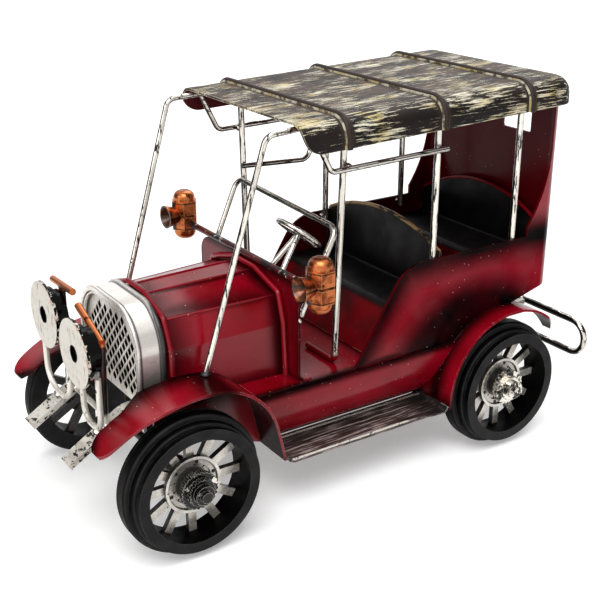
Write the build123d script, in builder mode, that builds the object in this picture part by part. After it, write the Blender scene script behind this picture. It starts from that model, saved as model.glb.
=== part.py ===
"""Hand-made metal model of an early touring car: painted sheet body, welded wire posts, four free wheels.

Millimetres. +X is the car's front, +Y its left side, +Z up. The origin is on the ground, under the
middle of the overall length and width.
"""
import os
from math import cos, radians, sin, tan

from build123d import *

os.makedirs("parts", exist_ok=True)

# Stock: sheet gauge, wires and the gap left at welded seats
sheet = 1.2
wire_r = 1.5
thin_wire_r = 1.25
seat_gap = 0.1
sides = (("left", 1), ("right", -1))

# Wheels: the tyre's steps are measured inwards from the tread, its widths outwards from the inner face
wheel_r = 31.0
front_axle_x = 87.0
rear_axle_x = -82.0
tyre_inner_y = 46.5
tread_width = 7.5
tread_round = 2.6
tread_groove_y = 2.4
tread_groove = 0.7
shoulder_step = 2.4
shoulder_width = 3.4
shoulder_round = 1.2
groove_step = 4.4
groove_width = 0.9
ring_step = 3.6
ring_width = 2.7
tyre_wall = 8.1
spoke_count = 12
spoke_width = 3.6
spoke_thick = 2.6
spoke_recess = 9.0
flange_r = 12.6
flange_bore_r = 9.0
flange_thick = 1.2
flange_lip = 1.5
flange_lip_height = 0.9
hub_r = 6.0
hub_overhang = 8.7
hub_recess = 4.0
# Tiers of the hub cap from the wheel outwards: radius, length; then the notches round each rim
hub_cap_tiers = ((8.3, 2.6), (6.0, 2.2), (4.2, 2.4), (2.4, 1.8))
notch_counts = (24, 18, 0, 0)
notch_r = 0.5

# Axles and the straps that hold them under the frame
axle_r = 2.0
running_gap = 0.05
axle_stub = 3.0
axle_end_gap = 0.4
collar_r = 4.2
collar_length = 2.5
collar_gap = 0.3
strap_width = 9.0
strap_thick = 3.0
strap_below_axle = 5.0

# Frame rails with front horns that slope down
frame_above_axle = 24.4
rail_y = 20.4
rail_width = 8.3
rail_thick = 2.5
rail_bend_r = 12.0
rail_tail = 6.5
horn_tip_x = 128.0
horn_start_gap = 13.0
horn_drop = 17.1
crossbar_gap = 6.0

# Body tub and floor: heights above the frame's top, distances from the tub's rear wall
floor_thick = 1.5
tub_half_width = 45.0
tub_rear_x = -118.2
tub_corner_r = 6.0
tub_top_gap = 4.6
belt_rise = 44.2
tub_nose_x = 0.0
tub_shoulder_back = 27.4
tub_shoulder_r = 20.0
notch_reach = 17.2
notch_rise = 4.4
pillar_width = 4.9
pillar_mid_reach = 8.9
pillar_mid_rise = 19.9
pillar_rise = 42.4
tail_rise = 18.6
arch_gap = 3.4
rear_floor_gap = 9.5
rear_floor_x = -46.0
window_inner_y = 7.0
window_outer_y = 26.0
window_drop = 18.5
window_height = 15.5
window_corner_r = 1.0

# Roof canopy: a tray bent down at both sides and at the rear, rising a little to the rear
roof_rise = 107.6
roof_rear_overhang = 2.3
roof_front_overhang = 4.0
roof_side_overhang = 6.0
roof_depth = 12.6
roof_pitch = 2.0
roof_bend_r = 8.0
roof_rear_corner_r = 10.0
roof_nose_r = 9.0
roof_seat_gap = 0.3
rib_count = 3
rib_spacing = 50.5
first_rib_back = 21.0
rib_r = 1.5
rib_lift = 0.5

# Seats: name, then the bent sheet as (x, height above the floor) from riser foot to back top,
# crown of the back, height of the back at its sides, all above the floor
seats = (
    ("front_seat", ((-12.5, 0.2), (-22.5, 22.5), (-47.5, 22.5), (-49.5, 57.0)), 54.2, 43.6),
    ("rear_seat", ((-84.5, 0.2), (-84.5, 31.3), (-110.5, 31.3), (-113.5, 61.0)), 58.2, 44.5),
)
seat_side_gap = 0.3
seat_bend_r = 2.5

# Dash, hood, radiator shell and grille: heights above the frame's top
dash_x = 27.0
dash_inset = 3.0
dash_rise = 45.6
dash_corner_r = 8.0
hood_length = 55.5
# Half widths and heights of the hood's folds, from its bottom edge up to the hinge beside the middle
hood_front_folds = ((29.6, 0.0), (29.2, 24.0), (23.6, 36.2), (6.4, 42.2))
hood_rear_folds = ((32.6, 0.0), (30.8, 24.6), (26.8, 37.2), (7.4, 42.8))
hood_fold_r = 3.0
bead_r = 1.2
bead_foot_gap = 1.8
shell_depth = 13.1
shell_half_width = 28.4
shell_rise = 42.0
shell_corner_r = 18.0
shell_sheet = 1.6
shell_front_bead_r = 0.8
shell_rear_bead_r = 1.2
grille_recess = 2.2
grille_thick = 1.0
grille_margin = 2.2
grille_pitch_y = 5.6
grille_pitch_z = 5.8
grille_hole_width = 3.6
grille_hole_height = 4.6
core_gap = 3.0

# Head lamps: side, disc's distance before the shell, place across the car, height above the frame
head_lamps = (("left", 22.0, 17.0, 27.8), ("right", 20.4, -18.5, 32.0))
lamp_disc_r = 14.6
lamp_disc_thick = 1.2
# Drum behind the disc: radius, length
lamp_drum = ((11.4, 3.4), (9.8, 3.0))
lamp_eye_r = 3.0
# Bracket bars behind the drums, from the lamp's axis: right end, left end, and where the leg starts
bracket_bars = (((-14.9, 13.8), (7.4, 5.2), 7.4), ((-10.0, 11.2), (12.1, 12.2), 0.0))
bracket_foot_y = 1.4
# Wire loops: lamp, distance before the shell, half width, bend radius, top below the lamp's axis
lamp_loops = ((0, 16.0, 8.5, 7.0, 9.3), (1, 16.0, 13.0, 10.5, 4.0), (1, 7.6, 7.0, 6.0, 6.0))

# Side lamps, hung on a cross rod
side_lamp_forward = 1.2
side_lamp_out = 16.0
side_lamp_low = 6.5
side_lamp_high = 17.4
lamp_nut_r = 6.6
lamp_nut_height = 6.4
lamp_nut_groove = 1.2
lamp_dome_r = 5.2
lamp_dome_round = 3.6
lamp_cup_length = 10.5
lamp_cup_r = 5.6
lamp_cup_throat_r = 3.4
lamp_cup_wall = 0.8

# Wire work: windshield, steering, posts, struts and rails
windshield_rake = 19.0
windshield_drop = 15.0
windshield_left_rise = 21.0
windshield_right_rise = 24.6
windshield_inset = 1.2
windshield_foot_inset = 2.0
wire_bend_r = 5.0
steering_y = 18.0
steering_back = 15.0
steering_rise = 13.5
steering_r = 10.5
steering_wire_r = 1.1
steering_spokes = (90, 210, 330)
column_spread = 5.0
column_drop = 3.0
post_top_inset = 0.5
front_post_back = 21.8
front_post_foot_inset = 8.5
front_post_foot = 21.0
front_post_bend_r = 3.0
middle_post_x = -44.5
rear_post_x = -93.5
post_overlap = 5.0
strut_y = 41.5
strut_reach = 12.0
strut_grip = 11.0
# Strut feet on the fenders: side, x, y, drop of the bend below the roof's front
struts = (("left", 69.2, 34.4, 1.5), ("right", 75.5, 35.4, 1.0))
strut_foot_gap = 0.8
rail_wire_out = 1.0
rail_wire_front = 6.5
rail_wire_hook = 9.5
rail_wire_hook_rise = 9.0
rail_wire_drop = 14.5
rail_wire_pitch = 1.5
rail_wire_tail = 2.5
rail_wire_bend_r = 4.0
door_wire_inset = 8.2
door_wire_drop = 31.0
door_wire_pitch = 2.0
door_wire_length = 39.0

# Fenders: outlines as angle round the axle from straight ahead, clearance outside the tread
front_fender_rim = ((163.0, 13.4), (141.0, 12.7), (115.0, 9.4), (71.4, 5.1), (28.9, 11.3))
rear_fender_rim = ((-7.5, 2.9), (45.0, 2.9), (93.0, 5.7), (123.0, 8.4), (151.6, 10.0))
front_fender_overhang = 7.0
rear_fender_overhang = 10.5
fender_hood_gap = 0.3
fender_turn = 11.0
fender_turn_length = 10.0
fender_tip_inset = 6.0
fender_tip_round = 0.46
fender_tip_taper = 2.0
rear_tail_length = 26.0
rear_tail_bulge = 2.2

# Sills, aprons and running boards
board_drop = 29.4
board_thick = 2.0
board_inset = 14.0
board_overhang = 7.0
board_front_gap = 18.0
board_rear_gap = 4.5
board_corner_r = 2.0
board_rod_r = 0.9
board_rod_inset = 3.6
fender_foot_gap = 2.4
foot_lift = 0.6
sill_overhang = 1.4
sill_belly_drop = 15.5
sill_belly_inset = 1.8
sill_lead = 16.0
sill_rear_reach = 20.0
apron_outset = 2.9
apron_front_gap = 6.0
apron_front_drop = 11.1
apron_rear_drop = 30.0

# Rear bumper loop
bumper_r = 1.6
bumper_gap = 1.7
bumper_half_width = 66.0
bumper_high_drop = 0.8
bumper_low_drop = 17.4

# Places worked out from the sizes above
frame_top_z = wheel_r + frame_above_axle
floor_under_z = frame_top_z + seat_gap
floor_top_z = floor_under_z + floor_thick
belt_z = frame_top_z + belt_rise
dash_top_z = frame_top_z + dash_rise
dash_half_width = tub_half_width - dash_inset
hood_rear_x = dash_x + sheet + seat_gap
hood_front_x = hood_rear_x + hood_length
hood_low_z = floor_top_z + seat_gap
shell_rear_x = hood_front_x + seat_gap
shell_front_x = shell_rear_x + shell_depth
shell_top_z = frame_top_z + shell_rise
roof_rear_x = tub_rear_x - roof_rear_overhang
roof_front_x = dash_x + roof_front_overhang
roof_half_width = tub_half_width + roof_side_overhang
roof_hem_rear_z = frame_top_z + roof_rise
board_top_z = frame_top_z - board_drop
board_front_x = front_axle_x - wheel_r - board_front_gap
board_rear_x = rear_axle_x + wheel_r + board_rear_gap
board_inner_y = tub_half_width - board_inset
board_outer_y = tub_half_width + board_overhang
sill_front_x = board_front_x + sill_lead
sill_rear_x = rear_axle_x + sill_rear_reach
front_fender_outer_y = tub_half_width + front_fender_overhang
horn_start_x = front_axle_x + horn_start_gap
horn_length = horn_tip_x - horn_start_x
horn_tip_z = frame_top_z - horn_drop
tread_outer_y = tyre_inner_y + tread_width
shoulder_outer_y = tread_outer_y + shoulder_width
tyre_face_y = shoulder_outer_y + groove_width + ring_width
tyre_bore_r = wheel_r - tyre_wall
spoke_outer_y = tyre_face_y - spoke_recess
spoke_inner_y = spoke_outer_y - spoke_thick
hub_inner_y = tyre_inner_y - hub_overhang
hub_outer_y = tyre_face_y - hub_recess
axle_end_y = hub_outer_y + axle_stub
rear_floor_half_width = tyre_inner_y - rear_floor_gap
post_y = tub_half_width - sheet - wire_r - seat_gap
front_post_x = dash_x - front_post_back


def save(part, name):
    """Labels one finished piece and writes it as its own file."""
    part.label = name
    export_step(part, f"parts/{name}.step")


def bent_wires(name, routes, radius, bend=wire_bend_r):
    """One node of round wires: each route is straight runs joined by bends of one radius."""
    with BuildPart() as wires:
        for route in routes:
            with BuildLine() as path:
                if len(route) > 2:
                    FilletPolyline(*route, radius=bend)
                else:
                    Line(*route)
            with BuildSketch(Plane(origin=path.line @ 0, z_dir=path.line % 0)):
                Circle(radius)
            sweep()
    save(wires.part, name)


def both_sides(route):
    """A route on the left side and its mirror image on the right."""
    return (route, [(x, -y, z) for x, y, z in route])


def roof_hem(x):
    """Height of the roof's lower edge at a place along the car."""
    return roof_hem_rear_z - (x - roof_rear_x) * tan(radians(roof_pitch))


def under_roof(x):
    """Height just below the roof sheet at a place along the car."""
    return roof_hem(x) + roof_depth - sheet - roof_seat_gap


def horn_top(x):
    """Height of a frame horn's top at a place along the car."""
    return horn_tip_z + (horn_tip_x - x) * horn_drop / horn_length


def rim_point(axle_x, angle, clearance):
    """A point of a fender's outline, given round its axle."""
    radius = wheel_r + clearance
    return (axle_x + radius * cos(radians(angle)), wheel_r + radius * sin(radians(angle)))


# Roof canopy: rounded tray shelled from below and from the front, with pressed ribs
roof_up = (sin(radians(roof_pitch)), 0, cos(radians(roof_pitch)))
roof_forward = (cos(radians(roof_pitch)), 0, -sin(radians(roof_pitch)))
roof_plane = Plane(origin=(roof_rear_x, 0, roof_hem_rear_z), x_dir=roof_forward, z_dir=roof_up)
roof_length = (roof_front_x - roof_rear_x) / cos(radians(roof_pitch))
with BuildPart() as roof_canopy:
    with BuildSketch(roof_plane):
        with Locations((roof_length / 2, 0)):
            Rectangle(roof_length, 2 * roof_half_width)
    extrude(amount=roof_depth)
    upright_edges = roof_canopy.edges().filter_by(Axis((0, 0, 0), roof_up))
    fillet(upright_edges.sort_by(Axis.X)[:2], roof_rear_corner_r)
    crown = roof_canopy.faces().sort_by(Axis.Z)[-1]
    fillet(crown.edges().sort_by(Axis.X)[:-1], roof_bend_r)
    open_faces = [roof_canopy.faces().sort_by(Axis.Z)[0], roof_canopy.faces().sort_by(Axis.X)[-1]]
    offset(amount=-sheet, openings=open_faces)
    # The side valances sweep back in a curve at their front lower corners
    with BuildSketch(Plane(roof_plane.origin, x_dir=roof_forward, z_dir=(0, -1, 0))):
        with BuildLine():
            Polyline((roof_length, roof_nose_r), (roof_length, 0), (roof_length - roof_nose_r, 0))
            RadiusArc((roof_length - roof_nose_r, 0), (roof_length, roof_nose_r), -roof_nose_r)
        make_face()
    extrude(amount=roof_half_width + sheet, both=True, mode=Mode.SUBTRACT)
    # Ribs follow the outside of the tray from hem to hem
    for rib in range(rib_count):
        rib_u = roof_length - first_rib_back - rib * rib_spacing
        rib_y = roof_half_width + rib_lift
        rib_plane = Plane(roof_plane.from_local_coords((rib_u, 0, 0)), x_dir=(0, 1, 0), z_dir=roof_forward)
        with BuildLine(rib_plane) as rib_path:
            FilletPolyline(
                (-rib_y, 0),
                (-rib_y, roof_depth + rib_lift),
                (rib_y, roof_depth + rib_lift),
                (rib_y, 0),
                radius=roof_bend_r + rib_lift,
            )
        with BuildSketch(Plane(origin=rib_path.line @ 0, z_dir=rib_path.line % 0)):
            Circle(rib_r)
        sweep()
save(roof_canopy.part, "roof_canopy")

# Body tub: sides and back wall in one bent sheet, cut to the side profile
tub_top_z = roof_hem(tub_rear_x) + roof_depth - sheet - tub_top_gap
tub_cut = tub_half_width + sheet
notch_x = tub_rear_x + notch_reach
pillar_x = tub_rear_x + pillar_width
notch_top = (notch_x, belt_z + notch_rise)
pillar_top = (pillar_x, belt_z + pillar_rise)
with BuildPart() as body_tub:
    with BuildSketch(Plane.XY.offset(floor_under_z)):
        with BuildLine():
            FilletPolyline(
                (tub_nose_x, tub_half_width),
                (tub_rear_x, tub_half_width),
                (tub_rear_x, -tub_half_width),
                (tub_nose_x, -tub_half_width),
                radius=tub_corner_r,
            )
            offset(amount=sheet, side=Side.LEFT)
        make_face()
    extrude(amount=tub_top_z - floor_under_z)
    # The side's upper edge: sloping nose, level belt, notch, then up the rear pillar in a curve
    with BuildSketch(Plane.XZ):
        with BuildLine():
            FilletPolyline(
                (tub_nose_x, floor_under_z),
                (tub_nose_x - tub_shoulder_back, belt_z),
                (notch_x, belt_z),
                radius=tub_shoulder_r,
            )
            Line((notch_x, belt_z), notch_top)
            pillar_mid = (tub_rear_x + pillar_mid_reach, belt_z + pillar_mid_rise)
            ThreePointArc(notch_top, pillar_mid, pillar_top)
            Polyline(
                pillar_top,
                (pillar_x, tub_top_z + sheet),
                (tub_nose_x + sheet, tub_top_z + sheet),
                (tub_nose_x + sheet, floor_under_z),
                (tub_nose_x, floor_under_z),
            )
        make_face()
    extrude(amount=tub_cut, both=True, mode=Mode.SUBTRACT)
    # Wheel arches, and the lower edge behind them
    with BuildSketch(Plane.XZ):
        with Locations((rear_axle_x, wheel_r)):
            Circle(wheel_r + arch_gap)
        Polygon(
            (tub_rear_x - sheet, floor_under_z - sheet),
            (tub_rear_x - sheet, frame_top_z + tail_rise),
            (rear_axle_x, 2 * wheel_r + arch_gap - sheet),
            (rear_axle_x, floor_under_z - sheet),
            align=None,
        )
    extrude(amount=tub_cut, both=True, mode=Mode.SUBTRACT)
    # Two rear windows
    window_z = roof_hem_rear_z - window_drop + window_height / 2
    with BuildSketch(Plane.YZ.offset(tub_rear_x - sheet)):
        for _, side in sides:
            with Locations((side * (window_inner_y + window_outer_y) / 2, window_z)):
                RectangleRounded(window_outer_y - window_inner_y, window_height, window_corner_r)
    extrude(amount=3 * sheet, mode=Mode.SUBTRACT)
save(body_tub.part, "body_tub")


def front_fender_curve(back):
    """Outside of the front fender from its foot to its tip, moved backwards by a distance."""
    outline = [(board_front_x + fender_foot_gap, board_top_z + foot_lift)]
    outline += [rim_point(front_axle_x, *place) for place in front_fender_rim]
    foot, knee, shoulder, top, brow, tip = [(x - back, z) for x, z in outline]
    Line(foot, knee)
    ThreePointArc(knee, shoulder, top)
    ThreePointArc(top, brow, tip)
    return foot, tip


def under_front_fender(back):
    """Outline of all that lies under the front fender's curve, down to the ground."""
    foot, tip = front_fender_curve(back)
    Polyline(tip, (tip[0], 0), (foot[0], 0), foot)


# Floor pan: a shelf beside the hood, wide at the feet, narrow between the rear wheels
with BuildPart() as floor_pan:
    inside_y = tub_half_width - sheet - seat_gap
    shelf_y = tub_half_width + sill_overhang - sheet - seat_gap
    floor_rear_x = tub_rear_x + 2 * sheet
    floor_edge = (
        (sill_front_x, shelf_y),
        (tub_nose_x + seat_gap, shelf_y),
        (tub_nose_x + seat_gap, inside_y),
        (rear_floor_x, inside_y),
        (rear_floor_x, rear_floor_half_width),
        (floor_rear_x, rear_floor_half_width),
    )
    with BuildSketch(Plane.XY.offset(floor_under_z)):
        with BuildLine():
            Polyline(*floor_edge, *[(x, -y) for x, y in reversed(floor_edge)], close=True)
        make_face()
    extrude(amount=floor_thick)
    with BuildSketch(Plane.XZ):
        with BuildLine():
            under_front_fender(2 * seat_gap)
        make_face()
    extrude(amount=2 * tub_half_width, both=True, mode=Mode.SUBTRACT)
save(floor_pan.part, "floor_pan")

# Seats: one bent sheet each, with an arched back; the rear riser is notched for the wheels
seat_half_width = tub_half_width - sheet - seat_side_gap
seat_cut_y = seat_half_width + sheet
for name, profile, crown_rise, shoulder_rise in seats:
    bent_sheet = [(x, floor_top_z + rise) for x, rise in profile]
    crown_z = floor_top_z + crown_rise
    shoulder_z = floor_top_z + shoulder_rise
    with BuildPart() as seat:
        with BuildSketch(Plane.XZ):
            with BuildLine():
                FilletPolyline(*bent_sheet, radius=seat_bend_r)
                offset(amount=sheet, side=Side.RIGHT)
            make_face()
        extrude(amount=seat_half_width, both=True)
        with BuildSketch(Plane.YZ.offset(bent_sheet[3][0] - seat_bend_r)):
            with BuildLine():
                ThreePointArc((-seat_cut_y, shoulder_z), (0, crown_z), (seat_cut_y, shoulder_z))
                Polyline(
                    (seat_cut_y, shoulder_z),
                    (seat_cut_y, crown_z + seat_half_width),
                    (-seat_cut_y, crown_z + seat_half_width),
                    (-seat_cut_y, shoulder_z),
                )
            make_face()
        extrude(amount=3 * seat_bend_r, mode=Mode.SUBTRACT)
        if name == "rear_seat":
            for _, side in sides:
                with BuildSketch(Plane.XZ.offset(-side * rear_floor_half_width)):
                    with Locations((rear_axle_x, wheel_r)):
                        Circle(wheel_r + arch_gap)
                extrude(amount=-side * seat_half_width, mode=Mode.SUBTRACT)
    save(seat.part, name)

# Dash panel with rounded top corners, standing on the floor
dash_low_z = floor_top_z + seat_gap
with BuildPart() as dash_panel:
    with BuildSketch(Plane.YZ.offset(dash_x)):
        with BuildLine():
            FilletPolyline(
                (-dash_half_width, dash_low_z),
                (-dash_half_width, dash_top_z),
                (dash_half_width, dash_top_z),
                (dash_half_width, dash_low_z),
                radius=dash_corner_r,
            )
            Line((dash_half_width, dash_low_z), (-dash_half_width, dash_low_z))
        make_face()
    extrude(amount=sheet)
save(dash_panel.part, "dash_panel")


def hood_section(folds, wall):
    """Outline of one end of the hood, drawn in by a wall: bottom edge, two folds and a hinge each side."""
    half = [(y - wall, max(hood_low_z, frame_top_z + rise - wall)) for y, rise in folds]
    FilletPolyline(*half, *[(-y, z) for y, z in reversed(half)], radius=hood_fold_r)
    Line((-half[0][0], half[0][1]), half[0])


# Hood: folded sheet that widens from the radiator to the dash, hollow below
with BuildPart() as hood:
    for wall, mode in ((0, Mode.ADD), (sheet, Mode.SUBTRACT)):
        for x, folds in ((hood_front_x, hood_front_folds), (hood_rear_x, hood_rear_folds)):
            with BuildSketch(Plane.YZ.offset(x)):
                with BuildLine():
                    hood_section(folds, wall)
                make_face()
        loft(mode=mode)
save(hood.part, "hood")

# Hood beads: wire arches over the ends of the hood, the front one standing on the fenders
bead_off = bead_r + 2 * seat_gap
fender_crown_z = rim_point(front_axle_x, *front_fender_rim[2])[1]
bead_ends = (
    (hood_front_x - bead_r, hood_front_folds, fender_crown_z + bead_foot_gap),
    (hood_rear_x + bead_r, hood_rear_folds, hood_low_z),
)
bead_routes = []
for x, folds, foot_z in bead_ends:
    half = [(x, y + bead_off, max(foot_z, frame_top_z + rise + bead_off)) for y, rise in folds]
    bead_routes.append([*half, *[(x, -y, z) for _, y, z in reversed(half)]])
bent_wires("hood_beads", bead_routes, bead_r, hood_fold_r)


def shell_arch(inset):
    """Arch of the radiator shell from foot to foot, drawn inside by an inset."""
    half = shell_half_width - inset
    top = shell_top_z - inset
    return FilletPolyline(
        (-half, floor_under_z),
        (-half, top),
        (half, top),
        (half, floor_under_z),
        radius=shell_corner_r - inset,
    )


def shell_outline(inset):
    """The arch closed along its foot."""
    arch = shell_arch(inset)
    Line(arch @ 1, arch @ 0)


# Radiator shell: an arched band with a round bead at each edge
with BuildPart() as radiator_shell:
    for inset, mode in ((0, Mode.ADD), (shell_sheet, Mode.SUBTRACT)):
        with BuildSketch(Plane.YZ.offset(shell_rear_x)):
            with BuildLine():
                shell_outline(inset)
            make_face()
        extrude(amount=shell_depth, mode=mode)
    shell_beads = (
        (shell_rear_x + shell_rear_bead_r, shell_rear_bead_r),
        (shell_front_x - shell_front_bead_r, shell_front_bead_r),
    )
    for bead_x, radius in shell_beads:
        with BuildLine(Plane.YZ.offset(bead_x)) as bead_path:
            shell_arch(0)
        with BuildSketch(Plane(origin=bead_path.line @ 0, z_dir=bead_path.line % 0)):
            Circle(radius)
        sweep()
save(radiator_shell.part, "radiator_shell")

# Grille: a plate set back in the shell, pierced by staggered rhombic holes
with BuildPart() as grille:
    grille_x = shell_front_x - grille_recess - grille_thick
    with BuildSketch(Plane.YZ.offset(grille_x)):
        with BuildLine():
            shell_outline(shell_sheet + seat_gap)
        make_face()
    extrude(amount=grille_thick)
    grille_half = shell_half_width - shell_sheet - grille_margin
    grille_low = floor_under_z + grille_margin
    grille_high = shell_top_z - shell_sheet - grille_margin
    grille_corner = shell_corner_r - shell_sheet - grille_margin
    row_count = int((grille_high - grille_low) / (grille_pitch_z / 2))
    column_count = int(2 * grille_half / grille_pitch_y) + 1
    holes = []
    for row in range(row_count):
        hole_z = grille_low + (row + 1) * grille_pitch_z / 2
        for column in range(column_count):
            hole_y = (column - (column_count - 1) / 2 + 0.5 * (row % 2)) * grille_pitch_y
            reach_y = abs(hole_y) + grille_hole_width / 2
            over_y = max(0, reach_y - (grille_half - grille_corner))
            over_z = max(0, hole_z + grille_hole_height / 2 - (grille_high - grille_corner))
            if reach_y < grille_half and over_y ** 2 + over_z ** 2 < grille_corner ** 2:
                holes.append((hole_y, hole_z))
    with BuildSketch(Plane.YZ.offset(grille_x - grille_thick)):
        with Locations(*holes):
            Polygon(
                (0, -grille_hole_height / 2),
                (grille_hole_width / 2, 0),
                (0, grille_hole_height / 2),
                (-grille_hole_width / 2, 0),
            )
    extrude(amount=3 * grille_thick, mode=Mode.SUBTRACT)
save(grille.part, "grille")

# Radiator core: a plain plate behind the grille
with BuildPart() as radiator_core:
    with BuildSketch(Plane.YZ.offset(shell_rear_x + core_gap)):
        with BuildLine():
            shell_outline(shell_sheet + seat_gap)
        make_face()
    extrude(amount=grille_thick)
save(radiator_core.part, "radiator_core")

# Head lamps: a flat disc with an eye, on a stepped drum, held by a bar and a leg to the frame horn
bracket_routes = []
for (name, forward, lamp_y, rise), (_, side), bar in zip(head_lamps, sides, bracket_bars):
    lamp_z = frame_top_z + rise
    drum_x = shell_front_x + forward - lamp_disc_thick
    with BuildPart() as head_lamp:
        with BuildSketch(Plane.YZ.offset(drum_x)):
            with Locations((lamp_y, lamp_z)):
                Circle(lamp_disc_r)
                Circle(lamp_eye_r, mode=Mode.SUBTRACT)
        extrude(amount=lamp_disc_thick)
        for radius, length in lamp_drum:
            with BuildSketch(Plane.YZ.offset(drum_x)):
                with Locations((lamp_y, lamp_z)):
                    Circle(radius)
            extrude(amount=-length)
            drum_x -= length
    save(head_lamp.part, f"head_lamp_{name}")
    bracket_x = drum_x - wire_r - seat_gap
    (right_y, right_rise), (left_y, left_rise), leg_y = bar
    leg_rise = right_rise + (left_rise - right_rise) * (leg_y - right_y) / (left_y - right_y)
    foot_z = horn_top(bracket_x - wire_r) + seat_gap
    bar_right_end = (bracket_x, lamp_y + right_y, lamp_z + right_rise)
    bar_left_end = (bracket_x, lamp_y + left_y, lamp_z + left_rise)
    leg_top = (bracket_x, lamp_y + leg_y, lamp_z + leg_rise)
    leg_foot = (bracket_x, side * rail_y + bracket_foot_y, foot_z)
    bracket_routes += [[bar_right_end, bar_left_end], [leg_top, leg_foot]]
bent_wires("lamp_brackets", bracket_routes, wire_r)

# Wire loops below the lamps, standing on the horns
with BuildPart() as loops:
    for lamp, forward, half_width, bend, top_drop in lamp_loops:
        _, _, lamp_y, rise = head_lamps[lamp]
        loop_x = shell_front_x + forward
        low_z = horn_top(loop_x - thin_wire_r) + thin_wire_r + seat_gap
        top_z = frame_top_z + rise - top_drop
        with BuildLine() as loop_path:
            FilletPolyline(
                (loop_x, lamp_y - half_width, top_z),
                (loop_x, lamp_y - half_width, low_z),
                (loop_x, lamp_y + half_width, low_z),
                (loop_x, lamp_y + half_width, top_z),
                radius=bend,
            )
        with BuildSketch(Plane(origin=loop_path.line @ 0, z_dir=loop_path.line % 0)):
            Circle(thin_wire_r)
        sweep()
save(loops.part, "lamp_loops")

# Side lamps: two hexagon bands between domes, with a flared cup facing forward
lamp_half_height = (side_lamp_high + side_lamp_low) / 2
side_lamp_x = dash_x + side_lamp_forward
side_lamp_y = dash_half_width + side_lamp_out
side_lamp_z = dash_top_z + side_lamp_high - lamp_half_height
dome_flat = lamp_dome_r - lamp_dome_round
dome_edge = lamp_half_height - lamp_dome_round
for name, side in sides:
    lamp_plane = Plane((side_lamp_x, side * side_lamp_y, side_lamp_z), x_dir=(1, 0, 0), z_dir=(0, -1, 0))
    with BuildPart() as side_lamp:
        with BuildSketch(lamp_plane):
            with BuildLine():
                Polyline((0, -lamp_half_height), (0, lamp_half_height), (dome_flat, lamp_half_height))
                RadiusArc((dome_flat, lamp_half_height), (lamp_dome_r, dome_edge), lamp_dome_round)
                Line((lamp_dome_r, dome_edge), (lamp_dome_r, -dome_edge))
                RadiusArc((lamp_dome_r, -dome_edge), (dome_flat, -lamp_half_height), lamp_dome_round)
                Line((dome_flat, -lamp_half_height), (0, -lamp_half_height))
            make_face()
        revolve(axis=Axis(lamp_plane.origin, (0, 0, 1)))
        for low in (lamp_nut_groove / 2, -lamp_nut_groove / 2 - lamp_nut_height):
            with BuildSketch(Plane(lamp_plane.origin + Vector(0, 0, low))):
                RegularPolygon(lamp_nut_r, 6)
            extrude(amount=lamp_nut_height)
        with BuildSketch(lamp_plane):
            with BuildLine():
                Polyline(
                    (lamp_dome_r / 2, 0),
                    (lamp_dome_r / 2, lamp_cup_throat_r),
                    (lamp_cup_length, lamp_cup_r),
                    (lamp_cup_length, lamp_cup_r - lamp_cup_wall),
                    (lamp_nut_r, lamp_cup_throat_r - lamp_cup_wall),
                    (lamp_nut_r, 0),
                    close=True,
                )
            make_face()
        revolve(axis=Axis(lamp_plane.origin, (1, 0, 0)))
    save(side_lamp.part, f"side_lamp_{name}")

# Cross rod on the dash's top edge, from lamp to lamp
rod_z = dash_top_z + wire_r + seat_gap
rod_x = dash_x + sheet / 2
rod_end_y = side_lamp_y - lamp_nut_r - seat_gap
bent_wires("lamp_rod", [[(rod_x, -rod_end_y, rod_z), (rod_x, rod_end_y, rod_z)]], wire_r)

# Windshield frame: a raked wire arch behind the dash, a little higher on the right
windshield_foot_x = dash_x - thin_wire_r - 2 * seat_gap
windshield_top_x = dash_x - windshield_rake
windshield_y = dash_half_width - windshield_inset
windshield_foot_y = dash_half_width - windshield_foot_inset
windshield_foot_z = dash_top_z - windshield_drop
bent_wires(
    "windshield_frame",
    [[
        (windshield_foot_x, windshield_foot_y, windshield_foot_z),
        (windshield_top_x, windshield_y, dash_top_z + windshield_left_rise),
        (windshield_top_x, -windshield_y, dash_top_z + windshield_right_rise),
        (windshield_foot_x, -windshield_foot_y, windshield_foot_z),
    ]],
    thin_wire_r,
)

# Steering wheel: a wire ring with spokes, on a column of two wires that spread down to the dash
steering_centre = Vector(dash_x - steering_back, steering_y, dash_top_z + steering_rise)
column_foot = Vector(dash_x - wire_r, steering_y, dash_top_z - column_drop)
column_dir = (steering_centre - column_foot).normalized()
steering_plane = Plane(steering_centre, x_dir=(0, 1, 0), z_dir=column_dir)
with BuildPart() as steering_wheel:
    rim_start = steering_centre + Vector(0, steering_r, 0)
    with BuildSketch(Plane(rim_start, x_dir=(0, 1, 0), z_dir=steering_plane.y_dir)):
        Circle(steering_wire_r)
    revolve(axis=Axis(steering_centre, column_dir))
    for turn in steering_spokes:
        spoke_dir = steering_plane.x_dir * cos(radians(turn)) + steering_plane.y_dir * sin(radians(turn))
        with BuildSketch(Plane(steering_centre, z_dir=spoke_dir)):
            Circle(steering_wire_r)
        extrude(amount=steering_r)
    for spread in (-column_spread, column_spread):
        leg = column_foot + Vector(0, spread, 0) - steering_centre
        with BuildSketch(Plane(steering_centre, z_dir=leg)):
            Circle(thin_wire_r)
        extrude(amount=leg.length)
save(steering_wheel.part, "steering_wheel")

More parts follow.
